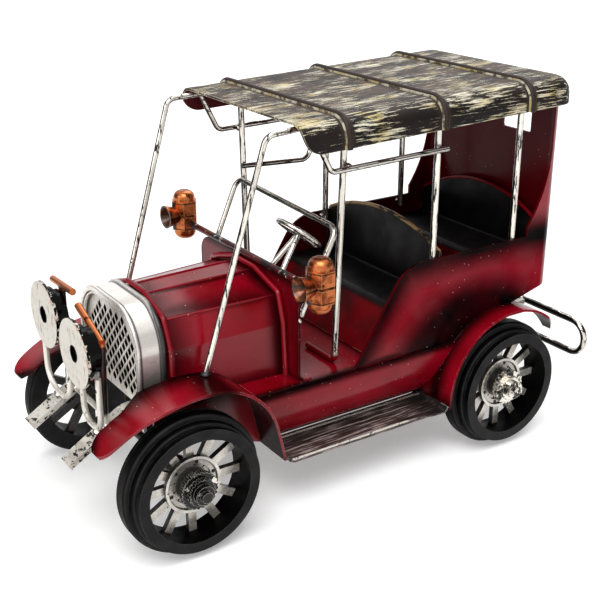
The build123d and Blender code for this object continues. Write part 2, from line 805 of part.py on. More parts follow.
# Roof posts: the front pair stands on the floor with turned-in feet, the others inside the tub's edge
foot_z = floor_top_z + wire_r + seat_gap
front_post_foot_y = tub_half_width - front_post_foot_inset
bent_wires(
    "front_posts",
    both_sides([
        (front_post_x, post_y - post_top_inset, under_roof(front_post_x)),
        (front_post_x, front_post_foot_y, foot_z),
        (front_post_x, front_post_foot_y - front_post_foot, foot_z),
    ]),
    wire_r,
    front_post_bend_r,
)
for name, post_x in (("middle_posts", middle_post_x), ("rear_posts", rear_post_x)):
    post = [(post_x, post_y, under_roof(post_x)), (post_x, post_y, belt_z - post_overlap)]
    bent_wires(name, both_sides(post), wire_r)

# Front struts: from under the roof's front edge forward, then down to the fenders
strut_top_z = roof_hem(roof_front_x) + roof_depth - sheet - thin_wire_r - 2 * seat_gap
strut_foot_z = fender_crown_z + strut_foot_gap
strut_routes = []
for (_, foot_x, foot_y, bend_drop), (_, side) in zip(struts, sides):
    strut_routes.append([
        (roof_front_x - strut_grip, side * strut_y, strut_top_z + seat_gap),
        (roof_front_x + strut_reach, side * strut_y, strut_top_z - bend_drop),
        (foot_x, side * foot_y, strut_foot_z),
    ])
bent_wires("front_struts", strut_routes, thin_wire_r)

# Side rails hang inside the valances and run back past the middle posts
rail_wire_y = tub_half_width + rail_wire_out
rail_low_z = roof_hem_rear_z - rail_wire_drop
hook_x = roof_front_x - rail_wire_front
bent_wires(
    "side_rails",
    both_sides([
        (hook_x, rail_wire_y, roof_hem(hook_x) + rail_wire_hook_rise),
        (hook_x - rail_wire_hook, rail_wire_y, rail_low_z),
        (middle_post_x - rail_wire_tail, rail_wire_y, rail_low_z + rail_wire_pitch),
    ]),
    thin_wire_r,
    rail_wire_bend_r,
)

# Door wire: one more wire inside the right posts, bent up to the roof
door_wire_y = tub_half_width - door_wire_inset
door_wire_z = roof_hem_rear_z - door_wire_drop
door_wire_x = front_post_x + wire_r + thin_wire_r
door_bend_x = door_wire_x - door_wire_length
bent_wires(
    "door_wire",
    [[
        (door_wire_x, -door_wire_y, door_wire_z),
        (door_bend_x, -door_wire_y, door_wire_z - door_wire_pitch),
        (door_bend_x, -door_wire_y, under_roof(door_bend_x)),
    ]],
    thin_wire_r,
)

# Front fenders: arched sheet from the running board over the wheel to a rounded tip beside the lamps
hood_slope = (hood_rear_folds[0][0] - hood_front_folds[0][0]) / hood_length
fender_turn_x = front_axle_x + fender_turn
fender_front_y = hood_front_folds[0][0] + fender_hood_gap + (hood_front_x - fender_turn_x) * hood_slope
fender_rear_y = hood_front_folds[0][0] + fender_hood_gap + hood_front_x * hood_slope
fender_tip_x = rim_point(front_axle_x, *front_fender_rim[4])[0]
fender_tip_width = front_fender_outer_y - fender_tip_taper - fender_front_y - fender_tip_inset
fender_cut = 2 * (wheel_r + frame_above_axle)
for name, side in sides:
    with BuildPart() as front_fender:
        with BuildSketch(Plane.XZ):
            with BuildLine():
                front_fender_curve(0)
                offset(amount=sheet, side=Side.RIGHT)
            make_face()
        extrude(amount=-side * front_fender_outer_y)
        with BuildSketch(Plane.XY):
            with BuildLine():
                FilletPolyline(
                    (0, side * fender_rear_y),
                    (fender_turn_x, side * fender_front_y),
                    (fender_turn_x + fender_turn_length, side * (fender_front_y + fender_tip_inset)),
                    (fender_tip_x, side * (fender_front_y + fender_tip_inset)),
                    (fender_tip_x, side * (front_fender_outer_y - fender_tip_taper)),
                    (fender_turn_x, side * front_fender_outer_y),
                    (0, side * front_fender_outer_y),
                    radius=fender_tip_round * fender_tip_width,
                )
                Line((0, side * front_fender_outer_y), (0, side * fender_rear_y))
            make_face()
        extrude(amount=fender_cut, mode=Mode.INTERSECT)
    save(front_fender.part, f"front_fender_{name}")

# Rear fenders: an arch outside the tub that ends in a leaf-shaped tail
rear_inner_y = tub_half_width + seat_gap
rear_outer_y = tub_half_width + rear_fender_overhang
rear_foot, rear_front, rear_top, rear_brow, rear_tail = [rim_point(rear_axle_x, *p) for p in rear_fender_rim]
tail_end_x = rear_tail[0] - 2 * sheet
for name, side in sides:
    with BuildPart() as rear_fender:
        with BuildSketch(Plane.XZ.offset(-side * rear_inner_y)):
            with BuildLine():
                ThreePointArc(rear_foot, rear_front, rear_top)
                ThreePointArc(rear_top, rear_brow, rear_tail)
                offset(amount=sheet, side=Side.LEFT)
            make_face()
        extrude(amount=-side * rear_fender_overhang)
        with BuildSketch(Plane.XY):
            with BuildLine():
                Polyline(
                    (tail_end_x + rear_tail_length, side * rear_outer_y),
                    (0, side * rear_outer_y),
                    (0, side * rear_inner_y),
                    (tail_end_x, side * rear_inner_y),
                )
                ThreePointArc(
                    (tail_end_x, side * rear_inner_y),
                    (tail_end_x + rear_tail_length / 4, side * (rear_outer_y - rear_tail_bulge)),
                    (tail_end_x + rear_tail_length, side * rear_outer_y),
                )
            make_face()
        extrude(amount=fender_cut, mode=Mode.INTERSECT)
    save(rear_fender.part, f"rear_fender_{name}")

# Sills roll inward below the body, and aprons close the wheel houses beside the frame
sill_top_y = tub_half_width + sill_overhang
sill_belly = (sill_top_y - sheet - sill_belly_inset, floor_under_z - sill_belly_drop)
sill_foot = (board_inner_y, board_top_z + foot_lift)
apron_y = hood_front_folds[0][0] + apron_outset
apron_top_z = floor_under_z - seat_gap
apron_front_x = front_axle_x + apron_front_gap
for name, side in sides:
    with BuildPart() as sill:
        with BuildSketch(Plane.YZ.offset(sill_rear_x)):
            with BuildLine():
                ThreePointArc(
                    (side * sill_top_y, floor_under_z),
                    (side * sill_belly[0], sill_belly[1]),
                    (side * sill_foot[0], sill_foot[1]),
                )
                offset(amount=sheet, side=Side.RIGHT if side > 0 else Side.LEFT)
            make_face()
        extrude(amount=sill_front_x - sill_rear_x)
        # The ends are trimmed to the back of the front fender and the front of the rear one
        with BuildSketch(Plane.XZ):
            with BuildLine():
                under_front_fender(2 * seat_gap)
            make_face()
            with Locations((rear_axle_x, wheel_r)):
                Circle(wheel_r + rear_fender_rim[0][1] + 2 * seat_gap)
        extrude(amount=2 * tub_half_width, both=True, mode=Mode.SUBTRACT)
    save(sill.part, f"sill_{name}")

    with BuildPart() as apron:
        with BuildSketch(Plane.XZ.offset(-side * apron_y)):
            with BuildLine():
                under_front_fender(-sheet - 2 * seat_gap)
            make_face()
            Polygon(
                (apron_front_x, apron_top_z),
                (apron_front_x, frame_top_z - apron_front_drop),
                (board_front_x, frame_top_z - apron_rear_drop),
                (board_front_x, apron_top_z),
                align=None,
                mode=Mode.INTERSECT,
            )
        extrude(amount=side * sheet)
    save(apron.part, f"hood_apron_{name}")

    with BuildPart() as board:
        with BuildSketch(Plane.XY.offset(board_top_z)):
            with Locations(((board_front_x + board_rear_x) / 2, side * (board_inner_y + board_outer_y) / 2)):
                Rectangle(board_front_x - board_rear_x, board_outer_y - board_inner_y)
        extrude(amount=-board_thick)
        fillet(board.edges().filter_by(Axis.Z), board_corner_r)
    save(board.part, f"running_board_{name}")

# Thin rods along the inner edges of the running boards
board_rod_y = board_inner_y + board_rod_inset
board_rod_z = board_top_z + board_rod_r + seat_gap
board_rod = [(board_rear_x, board_rod_y, board_rod_z), (board_front_x, board_rod_y, board_rod_z)]
bent_wires("board_rods", both_sides(board_rod), board_rod_r)

# Frame rails with horns
rail_rear_x = tub_rear_x - rail_tail
with BuildPart() as frame_rails:
    for _, side in sides:
        with BuildSketch(Plane.XZ.offset(-side * rail_y)):
            with BuildLine():
                FilletPolyline(
                    (rail_rear_x, frame_top_z),
                    (horn_start_x, frame_top_z),
                    (horn_tip_x, horn_tip_z),
                    radius=rail_bend_r,
                )
                offset(amount=rail_thick, side=Side.RIGHT)
            make_face()
        extrude(amount=rail_width / 2, both=True)
save(frame_rails.part, "frame_rails")

# Crossbar between the horns
crossbar_x = horn_start_x + crossbar_gap
crossbar_y = rail_y - rail_width / 2 - seat_gap
crossbar_z = horn_top(crossbar_x) - rail_thick / 2
crossbar = [(crossbar_x, -crossbar_y, crossbar_z), (crossbar_x, crossbar_y, crossbar_z)]
bent_wires("front_crossbar", [crossbar], thin_wire_r)

# Straps that carry the axles
with BuildPart() as axle_straps:
    strap_top_z = frame_top_z - rail_thick - seat_gap
    strap_low_z = wheel_r - strap_below_axle
    for axle_x in (front_axle_x, rear_axle_x):
        for _, side in sides:
            with BuildSketch(Plane.XZ.offset(-side * rail_y)):
                with Locations((axle_x, (strap_top_z + strap_low_z) / 2)):
                    Rectangle(strap_width, strap_top_z - strap_low_z)
                with Locations((axle_x, wheel_r)):
                    Circle(axle_r + running_gap, mode=Mode.SUBTRACT)
            extrude(amount=strap_thick / 2, both=True)
save(axle_straps.part, "axle_straps")

# Axles: plain rods with a collar behind each wheel
for name, axle_x in (("front_axle", front_axle_x), ("rear_axle", rear_axle_x)):
    with BuildPart() as axle:
        with BuildSketch(Plane.XZ):
            with Locations((axle_x, wheel_r)):
                Circle(axle_r)
        extrude(amount=axle_end_y, both=True)
        for _, side in sides:
            with BuildSketch(Plane.XZ.offset(-side * (hub_inner_y - collar_gap))):
                with Locations((axle_x, wheel_r)):
                    Circle(collar_r)
            extrude(amount=side * collar_length)
    save(axle.part, name)

# Rear bumper: a closed wire loop behind the rails
bumper_x = rail_rear_x - bumper_gap
bumper_high_z = frame_top_z - bumper_high_drop
bumper_low_z = frame_top_z - bumper_low_drop
with BuildPart() as rear_bumper:
    bend_r = (bumper_high_z - bumper_low_z) / 2
    straight_y = bumper_half_width - bumper_r - bend_r
    bend_z = bumper_low_z + bend_r
    with BuildLine(Plane.YZ.offset(bumper_x)):
        start = (0, bumper_high_z)
        high_left = (straight_y, bumper_high_z)
        low_left = (straight_y, bumper_low_z)
        low_right = (-straight_y, bumper_low_z)
        high_right = (-straight_y, bumper_high_z)
        Line(start, high_left)
        ThreePointArc(high_left, (straight_y + bend_r, bend_z), low_left)
        Line(low_left, low_right)
        ThreePointArc(low_right, (-straight_y - bend_r, bend_z), high_right)
        Line(high_right, start)
    with BuildSketch(Plane((bumper_x, 0, bumper_high_z), z_dir=(0, 1, 0))):
        Circle(bumper_r)
    sweep()
save(rear_bumper.part, "rear_bumper")

# Wheels: stepped tyre, spoked wheel and tiered hub cap, four times
spoke_inner_r = hub_r - sheet / 2
spoke_outer_r = tyre_bore_r - seat_gap
for end, axle_x in (("front", front_axle_x), ("rear", rear_axle_x)):
    for name, side in sides:
        corner = f"{end}_{name}"
        # Wheel profiles are drawn as (radius, distance from the car's middle) and turned about the axle
        profile_plane = Plane((axle_x, 0, wheel_r), x_dir=(0, 0, 1), z_dir=(-side, 0, 0))
        axle_axis = Axis((axle_x, 0, wheel_r), (0, 1, 0))
        with BuildPart() as tyre:
            with BuildSketch(profile_plane):
                with BuildLine():
                    FilletPolyline(
                        (tyre_bore_r, tyre_inner_y),
                        (wheel_r, tyre_inner_y),
                        (wheel_r, tread_outer_y),
                        (wheel_r - shoulder_step, tread_outer_y),
                        radius=tread_round / 2,
                    )
                    FilletPolyline(
                        (wheel_r - shoulder_step, tread_outer_y),
                        (wheel_r - shoulder_step, shoulder_outer_y),
                        (wheel_r - groove_step, shoulder_outer_y),
                        radius=shoulder_round,
                    )
                    Polyline(
                        (wheel_r - groove_step, shoulder_outer_y),
                        (wheel_r - groove_step, shoulder_outer_y + groove_width),
                        (wheel_r - ring_step, shoulder_outer_y + groove_width),
                        (wheel_r - ring_step, tyre_face_y),
                        (tyre_bore_r, tyre_face_y),
                        (tyre_bore_r, tyre_inner_y),
                    )
                make_face()
                with Locations((wheel_r, tyre_inner_y + tread_groove_y)):
                    Rectangle(2 * tread_groove, tread_groove, mode=Mode.SUBTRACT)
            revolve(axis=axle_axis)
        save(tyre.part, f"tyre_{corner}")

        with BuildPart() as wheel:
            with BuildSketch(profile_plane):
                with BuildLine():
                    Polyline(
                        (axle_r + running_gap, hub_inner_y),
                        (hub_r, hub_inner_y),
                        (hub_r, hub_outer_y),
                        (axle_r + running_gap, hub_outer_y),
                        close=True,
                    )
                make_face()
                with BuildLine():
                    Polyline(
                        (flange_bore_r, spoke_outer_y),
                        (flange_r, spoke_outer_y),
                        (flange_r, spoke_outer_y + flange_thick + flange_lip_height),
                        (flange_r - flange_lip, spoke_outer_y + flange_thick + flange_lip_height),
                        (flange_r - flange_lip, spoke_outer_y + flange_thick),
                        (flange_bore_r, spoke_outer_y + flange_thick),
                        close=True,
                    )
                make_face()
            revolve(axis=axle_axis)
            spoke_plane = Plane((axle_x, side * spoke_inner_y, wheel_r), x_dir=(1, 0, 0), z_dir=(0, side, 0))
            with BuildSketch(spoke_plane):
                with PolarLocations((spoke_inner_r + spoke_outer_r) / 2, spoke_count):
                    Rectangle(spoke_outer_r - spoke_inner_r, spoke_width)
            extrude(amount=spoke_thick)
        save(wheel.part, f"wheel_{corner}")

        with BuildPart() as hub_cap:
            tier_y = hub_outer_y + seat_gap
            for (radius, length), notches in zip(hub_cap_tiers, notch_counts):
                with BuildSketch(Plane((axle_x, side * tier_y, wheel_r), z_dir=(0, side, 0))):
                    Circle(radius)
                    if notches:
                        with PolarLocations(radius, notches):
                            Circle(notch_r, mode=Mode.SUBTRACT)
                extrude(amount=length)
                tier_y += length
            with BuildSketch(Plane((axle_x, side * hub_outer_y, wheel_r), z_dir=(0, side, 0))):
                Circle(axle_r + running_gap)
            extrude(amount=axle_stub + axle_end_gap, mode=Mode.SUBTRACT)
        save(hub_cap.part, f"hub_cap_{corner}")
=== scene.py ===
# %% [markdown]
# A small hand-made metal model of an early touring car.
# The pressed and welded pieces come from the imported frame, in metres, each at its own place.
# This lesson dresses them: paints and worn metals first, then small pieces such as rivets,
# weld drops and beads that a maker adds last.

# %% Load the frame
import math

import bpy
import numpy as np
from mathutils import Matrix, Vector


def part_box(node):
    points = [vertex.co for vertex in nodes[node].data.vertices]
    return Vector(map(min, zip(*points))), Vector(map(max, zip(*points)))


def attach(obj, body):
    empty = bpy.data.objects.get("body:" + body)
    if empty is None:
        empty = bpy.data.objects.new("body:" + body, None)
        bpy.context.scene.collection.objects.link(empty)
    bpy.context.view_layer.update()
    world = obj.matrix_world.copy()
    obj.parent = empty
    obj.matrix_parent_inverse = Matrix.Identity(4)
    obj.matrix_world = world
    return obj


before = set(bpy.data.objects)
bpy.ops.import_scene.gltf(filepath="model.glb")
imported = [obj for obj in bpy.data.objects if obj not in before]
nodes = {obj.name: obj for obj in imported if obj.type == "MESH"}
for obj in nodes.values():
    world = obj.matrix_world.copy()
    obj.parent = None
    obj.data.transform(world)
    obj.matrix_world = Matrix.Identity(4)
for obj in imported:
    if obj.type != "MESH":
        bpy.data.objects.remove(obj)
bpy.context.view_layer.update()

# %% [markdown]
# The photograph was taken from the front left and a little above, with a long lens.
# The angles and the distance were solved from known points of the model, so the camera is set
# by its own axes rather than by aiming it: right, up and back are the columns of its turn.

# %% Camera
view_azimuth = math.radians(56.21)
view_elevation = math.radians(21.85)
view_roll = math.radians(0.14)
camera_place = np.array([0.2605, 0.3904, 0.2625])

back = np.array([
    math.cos(view_elevation) * math.cos(view_azimuth),
    math.cos(view_elevation) * math.sin(view_azimuth),
    math.sin(view_elevation),
])
level = np.cross(-back, [0, 0, 1])
level /= np.linalg.norm(level)
upright = np.cross(level, -back)
right = math.cos(view_roll) * level + math.sin(view_roll) * upright
up = np.cross(back, right)


def stand(thing, right, up, back, place):
    """Puts a camera or lamp at a place, turned so that it looks away from its back."""
    turn = np.eye(4)
    turn[:3, 0], turn[:3, 1], turn[:3, 2], turn[:3, 3] = right, up, back, place
    thing.matrix_world = Matrix(turn.tolist())
    bpy.context.collection.objects.link(thing)


camera = bpy.data.objects.new("camera", bpy.data.cameras.new("camera"))
camera.data.sensor_width = 36
camera.data.lens = 64.53
stand(camera, right, up, back, camera_place)
bpy.context.scene.camera = camera
print("camera at", camera_place)

# %% [markdown]
# A finish is a small network of shader nodes. Writing each link by hand hides the idea,
# so this bench gives short calls for the few nodes used here: noise, bands, mixes.
# All patterns read Object coordinates turned into millimetres, so a number such as 0.2 is
# a pattern of about five millimetres and stays on the piece when it moves.

# %% Workbench for finishes
def tint(red, green, blue):
    """A display colour as linear light: each channel to the power 2.2."""
    return tuple(channel ** 2.2 for channel in (red, green, blue)) + (1.0,)


class Bench:
    """The nodes of one finish, with a call for each kind that the finishes share."""

    def __init__(self, name):
        self.finish = bpy.data.materials.new(name)
        self.finish.use_nodes = True
        self.tree = self.finish.node_tree
        self.shader = self.tree.nodes["Principled BSDF"]
        self.coords = self.tree.nodes.new("ShaderNodeTexCoord")
        self.mm = self.vector("SCALE", self.coords.outputs["Object"], scale=1000.0)
        place = self.add("ShaderNodeSeparateXYZ", {0: self.mm})
        self.x, self.y, self.z = place.outputs
        facing = self.add("ShaderNodeSeparateXYZ", {0: self.coords.outputs["Normal"]})
        self.facing_x, self.facing_y, self.facing_z = facing.outputs

    def add(self, kind, inputs, **settings):
        made = self.tree.nodes.new(kind)
        for key, value in settings.items():
            setattr(made, key, value)
        for key, value in inputs.items():
            if isinstance(value, bpy.types.NodeSocket):
                self.tree.links.new(value, made.inputs[key])
            else:
                made.inputs[key].default_value = value
        return made

    def vector(self, operation, first, second=None, scale=None):
        inputs = {0: first}
        if second is not None:
            inputs[1] = second
        if scale is not None:
            inputs["Scale"] = scale
        made = self.add("ShaderNodeVectorMath", inputs, operation=operation)
        return made.outputs["Value" if operation in ("DOT_PRODUCT", "LENGTH") else "Vector"]

    def math(self, operation, first, second=0.0):
        return self.add("ShaderNodeMath", {0: first, 1: second}, operation=operation).outputs[0]

    def chain(self, operation, first, others):
        """One value from several, joined two at a time."""
        for other in others:
            first = self.math(operation, first, other)
        return first

    def times(self, first, *others):
        return self.chain("MULTIPLY", first, others)

    def plus(self, first, *others):
        return self.chain("ADD", first, others)

    def most(self, first, *others):
        return self.chain("MAXIMUM", first, others)

    def minus(self, first, second):
        return self.math("SUBTRACT", first, second)

    def band(self, value, low, high, start=0.0, end=1.0):
        """Smooth step from start to end while a value goes from low to high."""
        inputs = {0: value, 1: low, 2: high, 3: start, 4: end}
        made = self.add("ShaderNodeMapRange", inputs, interpolation_type="SMOOTHSTEP")
        return made.outputs[0]

    def noise(self, scale, detail=3.0, roughness=0.55, stretch=(1, 1, 1)):
        """Cloudy noise from 0 to 1, drawn out along an axis by a small stretch number."""
        where = self.add("ShaderNodeMapping", {0: self.mm, "Scale": stretch}).outputs[0]
        inputs = {"Vector": where, "Scale": scale, "Detail": detail, "Roughness": roughness}
        return self.add("ShaderNodeTexNoise", inputs).outputs[0]

    def flecks(self, scale, size, cloud, low, high):
        """Small round spots, one to each cell of the pattern, where a slow cloud of noise is high."""
        cells = self.add("ShaderNodeTexVoronoi", {"Vector": self.mm, "Scale": scale})
        spots = self.band(cells.outputs["Distance"], size, size * 0.5)
        return self.times(spots, self.band(self.noise(cloud), low, high))

    def mix(self, amount, low, high):
        inputs = {0: amount, 6: low, 7: high}
        return self.add("ShaderNodeMix", inputs, data_type="RGBA").outputs[2]

    def edges(self, width):
        """Worn edges: how far a normal that is rounded over a width in mm leaves the true one."""
        rounded = self.add("ShaderNodeBevel", {"Radius": width / 1000}, samples=6)
        true = self.add("ShaderNodeNewGeometry", {})
        same = self.vector("DOT_PRODUCT", rounded.outputs[0], true.outputs["Normal"])
        return self.band(same, 0.96, 0.75)

    def from_axle(self, axle_x, axle_z):
        """Distance in mm from an axle that lies across the car."""
        flat = self.vector("MULTIPLY", self.mm, (1, 0, 1))
        return self.vector("LENGTH", self.vector("SUBTRACT", flat, (axle_x, 0, axle_z)))

    def outwards(self):
        """How far a face looks away from the middle of the car: 1 straight out, -1 straight in."""
        return self.times(self.math("SIGN", self.y), self.facing_y)

    def finish_with(
        self, colour, roughness, bump=None, bump_mm=0.05, metallic=0.0, mirror=0.5, **sockets
    ):
        """Links the colours and levels to the shader: sockets and plain values alike."""
        inputs = {"Base Color": colour, "Roughness": roughness, "Metallic": metallic}
        inputs.update({"Specular IOR Level": mirror, **sockets})
        if bump is not None:
            height = {"Height": bump, "Distance": bump_mm / 1000, "Strength": 1.0}
            inputs["Normal"] = self.add("ShaderNodeBump", height).outputs[0]
        for key, value in inputs.items():
            if isinstance(value, bpy.types.NodeSocket):
                self.tree.links.new(value, self.shader.inputs[key])
            else:
                self.shader.inputs[key].default_value = value
        return self.finish


def wear(name, finish):
    """Puts a finish on every slot of a node of the frame."""
    for slot in nodes[name].material_slots:
        slot.material = finish


print("bench ready")

# %% [markdown]
# The model stands on plain white paper under large soft lights. A real sweep would curve up
# behind it. Here the camera looks down so far that a flat sheet fills the picture.
# The paper takes the shadow, and shows a little of its own light to the camera, so that it
# reads as white without brighter lamps on the paint.

# %% White paper
def sheet(name, corners, finish):
    """A flat sheet of the studio from its four corners in metres."""
    mesh = bpy.data.meshes.new(name)
    mesh.from_pydata(np.asarray(corners).tolist(), [], [(0, 1, 2, 3)])
    mesh.materials.append(finish)
    made = bpy.data.objects.new(name, mesh)
    bpy.context.collection.objects.link(made)
    return made


bench = Bench("white paper")
seen = bench.add("ShaderNodeLightPath", {})
straight_rays = ("Is Camera Ray", "Is Glossy Ray", "Is Transmission Ray")
seen_directly = bench.most(*(seen.outputs[kind] for kind in straight_rays))
from_car = bench.vector("LENGTH", bench.mm)
paper_glow = bench.times(seen_directly, bench.band(from_car, 150.0, 1500.0, 0.30, 0.75))
paper_finish = bench.finish_with(
    tint(0.93, 0.93, 0.93), 0.9, **{"Emission Color": (1, 1, 1, 1), "Emission Strength": paper_glow}
)
paper_half = 4.0
paper_corners = np.array([[-1, -1, 0], [1, -1, 0], [1, 1, 0], [-1, 1, 0]]) * paper_half
paper = sheet("paper", paper_corners, paper_finish)
print("paper", 2 * paper_half, "m wide")

# %% [markdown]
# A white room lights the model from all round, weakly, and looks white itself to the camera and in
# reflections. Three softboxes give the paint its gradients: a key from above the camera's side, one
# in front for the lamps and one behind for the roof's edge. A bare bulb would leave hard points.

# %% Studio light
world = bpy.data.worlds.new("white studio")
world.use_nodes = True
tree = world.node_tree
ray = tree.nodes.new("ShaderNodeLightPath")
seen_directly = ray.outputs[straight_rays[0]]
for kind in straight_rays[1:]:
    either = tree.nodes.new("ShaderNodeMath")
    either.operation = "MAXIMUM"
    tree.links.new(seen_directly, either.inputs[0])
    tree.links.new(ray.outputs[kind], either.inputs[1])
    seen_directly = either.outputs[0]
sky_level = tree.nodes.new("ShaderNodeMapRange")
sky_level.inputs["To Min"].default_value = 0.30
sky_level.inputs["To Max"].default_value = 1.0
tree.links.new(seen_directly, sky_level.inputs["Value"])
tree.links.new(sky_level.outputs[0], tree.nodes["Background"].inputs["Strength"])
tree.nodes["Background"].inputs["Color"].default_value = (1, 1, 1, 1)
bpy.context.scene.world = world
bpy.context.scene.view_settings.view_transform = "Standard"

# Softboxes: place, what it looks at, width, power
softboxes = {
    "key softbox": ((0.40, 0.55, 1.20), (0.0, 0.0, 0.08), 0.9, 16.0),
    "front softbox": ((1.15, 0.05, 0.55), (0.05, 0.0, 0.07), 0.7, 4.0),
    "rear softbox": ((-0.65, -0.45, 1.05), (-0.05, 0.0, 0.1), 0.8, 6.0),
}
for name, (place, target, width, power) in softboxes.items():
    lamp = bpy.data.lights.new(name, "AREA")
    lamp.shape, lamp.size, lamp.energy = "SQUARE", width, power
    box = bpy.data.objects.new(name, lamp)
    aim = np.subtract(place, target)
    aim /= np.linalg.norm(aim)
    side = np.cross([0, 0, 1], aim)
    side /= np.linalg.norm(side)
    stand(box, side, np.cross(aim, side), aim, place)
print("softboxes", list(softboxes))

# %% [markdown]
# Polished wire on white paper would look like white wire. A photographer stands black cards at
# both sides, out of the picture, so that every rod mirrors a dark line beside its bright one, and
# lays one on the paper some way off, which keeps the lower half of the doors deep. These cards are
# seen only in reflections: they give shape to metal and depth to the enamel.

# %% Black cards
bench = Bench("black card")
card_colour = bench.mix(bench.noise(0.01, 2.0), tint(0.04, 0.04, 0.04), tint(0.08, 0.08, 0.08))
card_finish = bench.finish_with(card_colour, 0.9, mirror=0.0)


def standing_card(azimuth, distance=1.1, width=1.5, low=0.03, high=0.95):
    """Corners of an upright card that faces the car from a direction, in metres."""
    outwards = np.array([math.cos(math.radians(azimuth)), math.sin(math.radians(azimuth)), 0.0])
    across = np.array([-outwards[1], outwards[0], 0.0]) * width / 2
    left, right = outwards * distance - across, outwards * distance + across
    below, above = np.array([0, 0, low]), np.array([0, 0, high])
    return left + below, right + below, right + above, left + above


cards = {
    "left_card": standing_card(146.0),
    "right_card": standing_card(-34.0),
    "low_card": ((-0.35, 0.14, 0.002), (0.1, 0.14, 0.002), (0.1, 0.15, 0.002), (-0.35, 0.28, 0.002)),
}
for name, corners in cards.items():
    card = sheet(name, corners, card_finish)
    card.visible_camera = card.visible_diffuse = card.visible_shadow = False
print("cards", list(cards))

# %% [markdown]
# The body is sprayed a deep candy red, then a soft black is misted along edges, seams and
# wheel arches to make it look old. A painted picture would do it, but then the part would need
# unwrapping. The mist is worked out from place instead: each zone is a plane or an axle with a
# width, and noise breaks its border. Handling has left pale specks and bare bright edges.

# %% Red paint with black mist
fresh_red = tint(0.56, 0.05, 0.135)
deep_red = tint(0.47, 0.025, 0.085)
shadow_red = tint(0.31, 0.04, 0.06)
under_shade_red = tint(0.13, 0.015, 0.02)
thin_red = tint(0.72, 0.20, 0.26)
mist_black = tint(0.06, 0.035, 0.04)
dust = tint(0.78, 0.66, 0.62)
bare_steel = tint(0.72, 0.66, 0.62)


def mist_near_plane(bench, direction, distance, width):
    """1 on a plane given by its direction and distance in mm, falling to 0 at a width from it."""
    along = bench.vector("DOT_PRODUCT", bench.mm, direction)
    off = bench.math("ABSOLUTE", bench.minus(along, distance))
    return bench.band(off, width, 0.0)


def mist_round_axle(bench, axle_x, axle_z, inner, outer):
    """1 inside an inner radius about a wheel axle, falling to 0 at the outer one."""
    return bench.band(bench.from_axle(axle_x, axle_z), outer, inner)


print("reds and mists mixed")

# %% [markdown]
# The enamel goes on in the painter's order: red, then mist, then years of handling. Specks are
# small round flecks. An edge shows thin red paint first and bare steel where it was touched most.
# Black mist is matt and red is glossy, so the mirror level falls as the mist thickens.

# %% Red enamel
def red_paint(name, planes=(), axles=(), inside=None, shine=0.36):
    """Red enamel with black mist in the zones given, painted shade on inner faces, specks and bare
    edges.
    """
    bench = Bench(name)
    cloud = bench.noise(0.035, 2.0)
    colour = bench.mix(bench.band(cloud, 0.3, 0.7), deep_red, fresh_red)
    mist = bench.band(bench.noise(0.02, 3.0), 0.62, 0.9, 0.0, 0.35)
    for direction, distance, width, strength in planes:
        zone = mist_near_plane(bench, direction, distance, width)
        mist = bench.most(mist, bench.times(zone, strength))
    for centre_x, centre_z, inner, outer, strength in axles:
        zone = mist_round_axle(bench, centre_x, centre_z, inner, outer)
        mist = bench.most(mist, bench.times(zone, strength))
    uneven = bench.band(bench.noise(0.05, 2.0), 0.25, 0.75, 0.9, 1.05)
    mist = bench.times(mist, uneven)
    colour = bench.mix(mist, colour, mist_black)
    # Painted shade: the inner faces found by the inside test get a dark red and lose their shine.
    if inside is not None:
        inner_shade, inner_shade_red = inside(bench)
        colour = bench.mix(inner_shade, colour, inner_shade_red)
        mist = bench.most(mist, inner_shade)
    spots = bench.flecks(0.3, 0.085, 0.05, 0.38, 0.54)
    colour = bench.mix(bench.times(spots, 0.75), colour, dust)
    edge = bench.times(bench.edges(0.5), bench.band(mist, 0.3, 0.9, 1.0, 0.12))
    colour = bench.mix(bench.times(edge, 0.6), colour, thin_red)
    worn = bench.times(edge, bench.band(bench.noise(0.3, 4.0, 0.7), 0.56, 0.66))
    colour = bench.mix(bench.times(worn, 0.75), colour, bare_steel)
    gloss = bench.band(bench.noise(0.08, 4.0), 0.3, 0.75, 0.17, 0.28)
    mirror = bench.band(mist, 0.0, 1.0, shine, 0.06)
    return bench.finish_with(colour, gloss, bench.noise(0.55, 3.0, 0.6), 0.012, mirror=mirror)


print("enamel ready")

# %% [markdown]
# The inner sides of a tub or a fender are painted dark, as shade. Inside and
# outside are faces of one solid, so the finish finds the inner ones by the way that they look.

# %% Painted shade on the inner sides
def tub_inside_shade(bench):
    """Painted shade: 1 on faces of the tub that look inwards, towards the middle or forwards from the
    back wall, with a shaded red.
    """
    inwards = bench.most(bench.times(bench.outwards(), -1.0), bench.facing_x)
    return bench.band(inwards, 0.3, 0.7, 0.0, 0.85), shadow_red


def fender_inside_shade(centre_x, centre_z):
    """Gives the painted shade for a fender's hollow side: 1 on faces that look towards the wheel's
    axle, with a dark red.
    """
    def hollow(bench):
        flat = bench.vector("MULTIPLY", bench.mm, (1, 0, 1))
        outwards = bench.vector("NORMALIZE", bench.vector("SUBTRACT", flat, (centre_x, 0, centre_z)))
        facing = bench.vector("DOT_PRODUCT", outwards, bench.coords.outputs["Normal"])
        return bench.band(facing, -0.3, -0.7, 0.0, 0.97), under_shade_red
    return hollow


print("inner sides ready")

# %% [markdown]
# Now the body is painted, piece by piece. Each zone of mist is a line of a small table: the
# direction of its plane, the plane's distance, the width of the mist and its strength. Zones about
# an axle have its place, an inner and an outer radius and a strength. All lengths are millimetres.

# %% Painting the body
def axle_place(end):
    """Place of an axle along the car and above the floor in mm: the middle of its tyre's box."""
    low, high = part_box(f"tyre_{end}_left")
    return round((low.x + high.x) * 500, 1), round((low.z + high.z) * 500, 1)


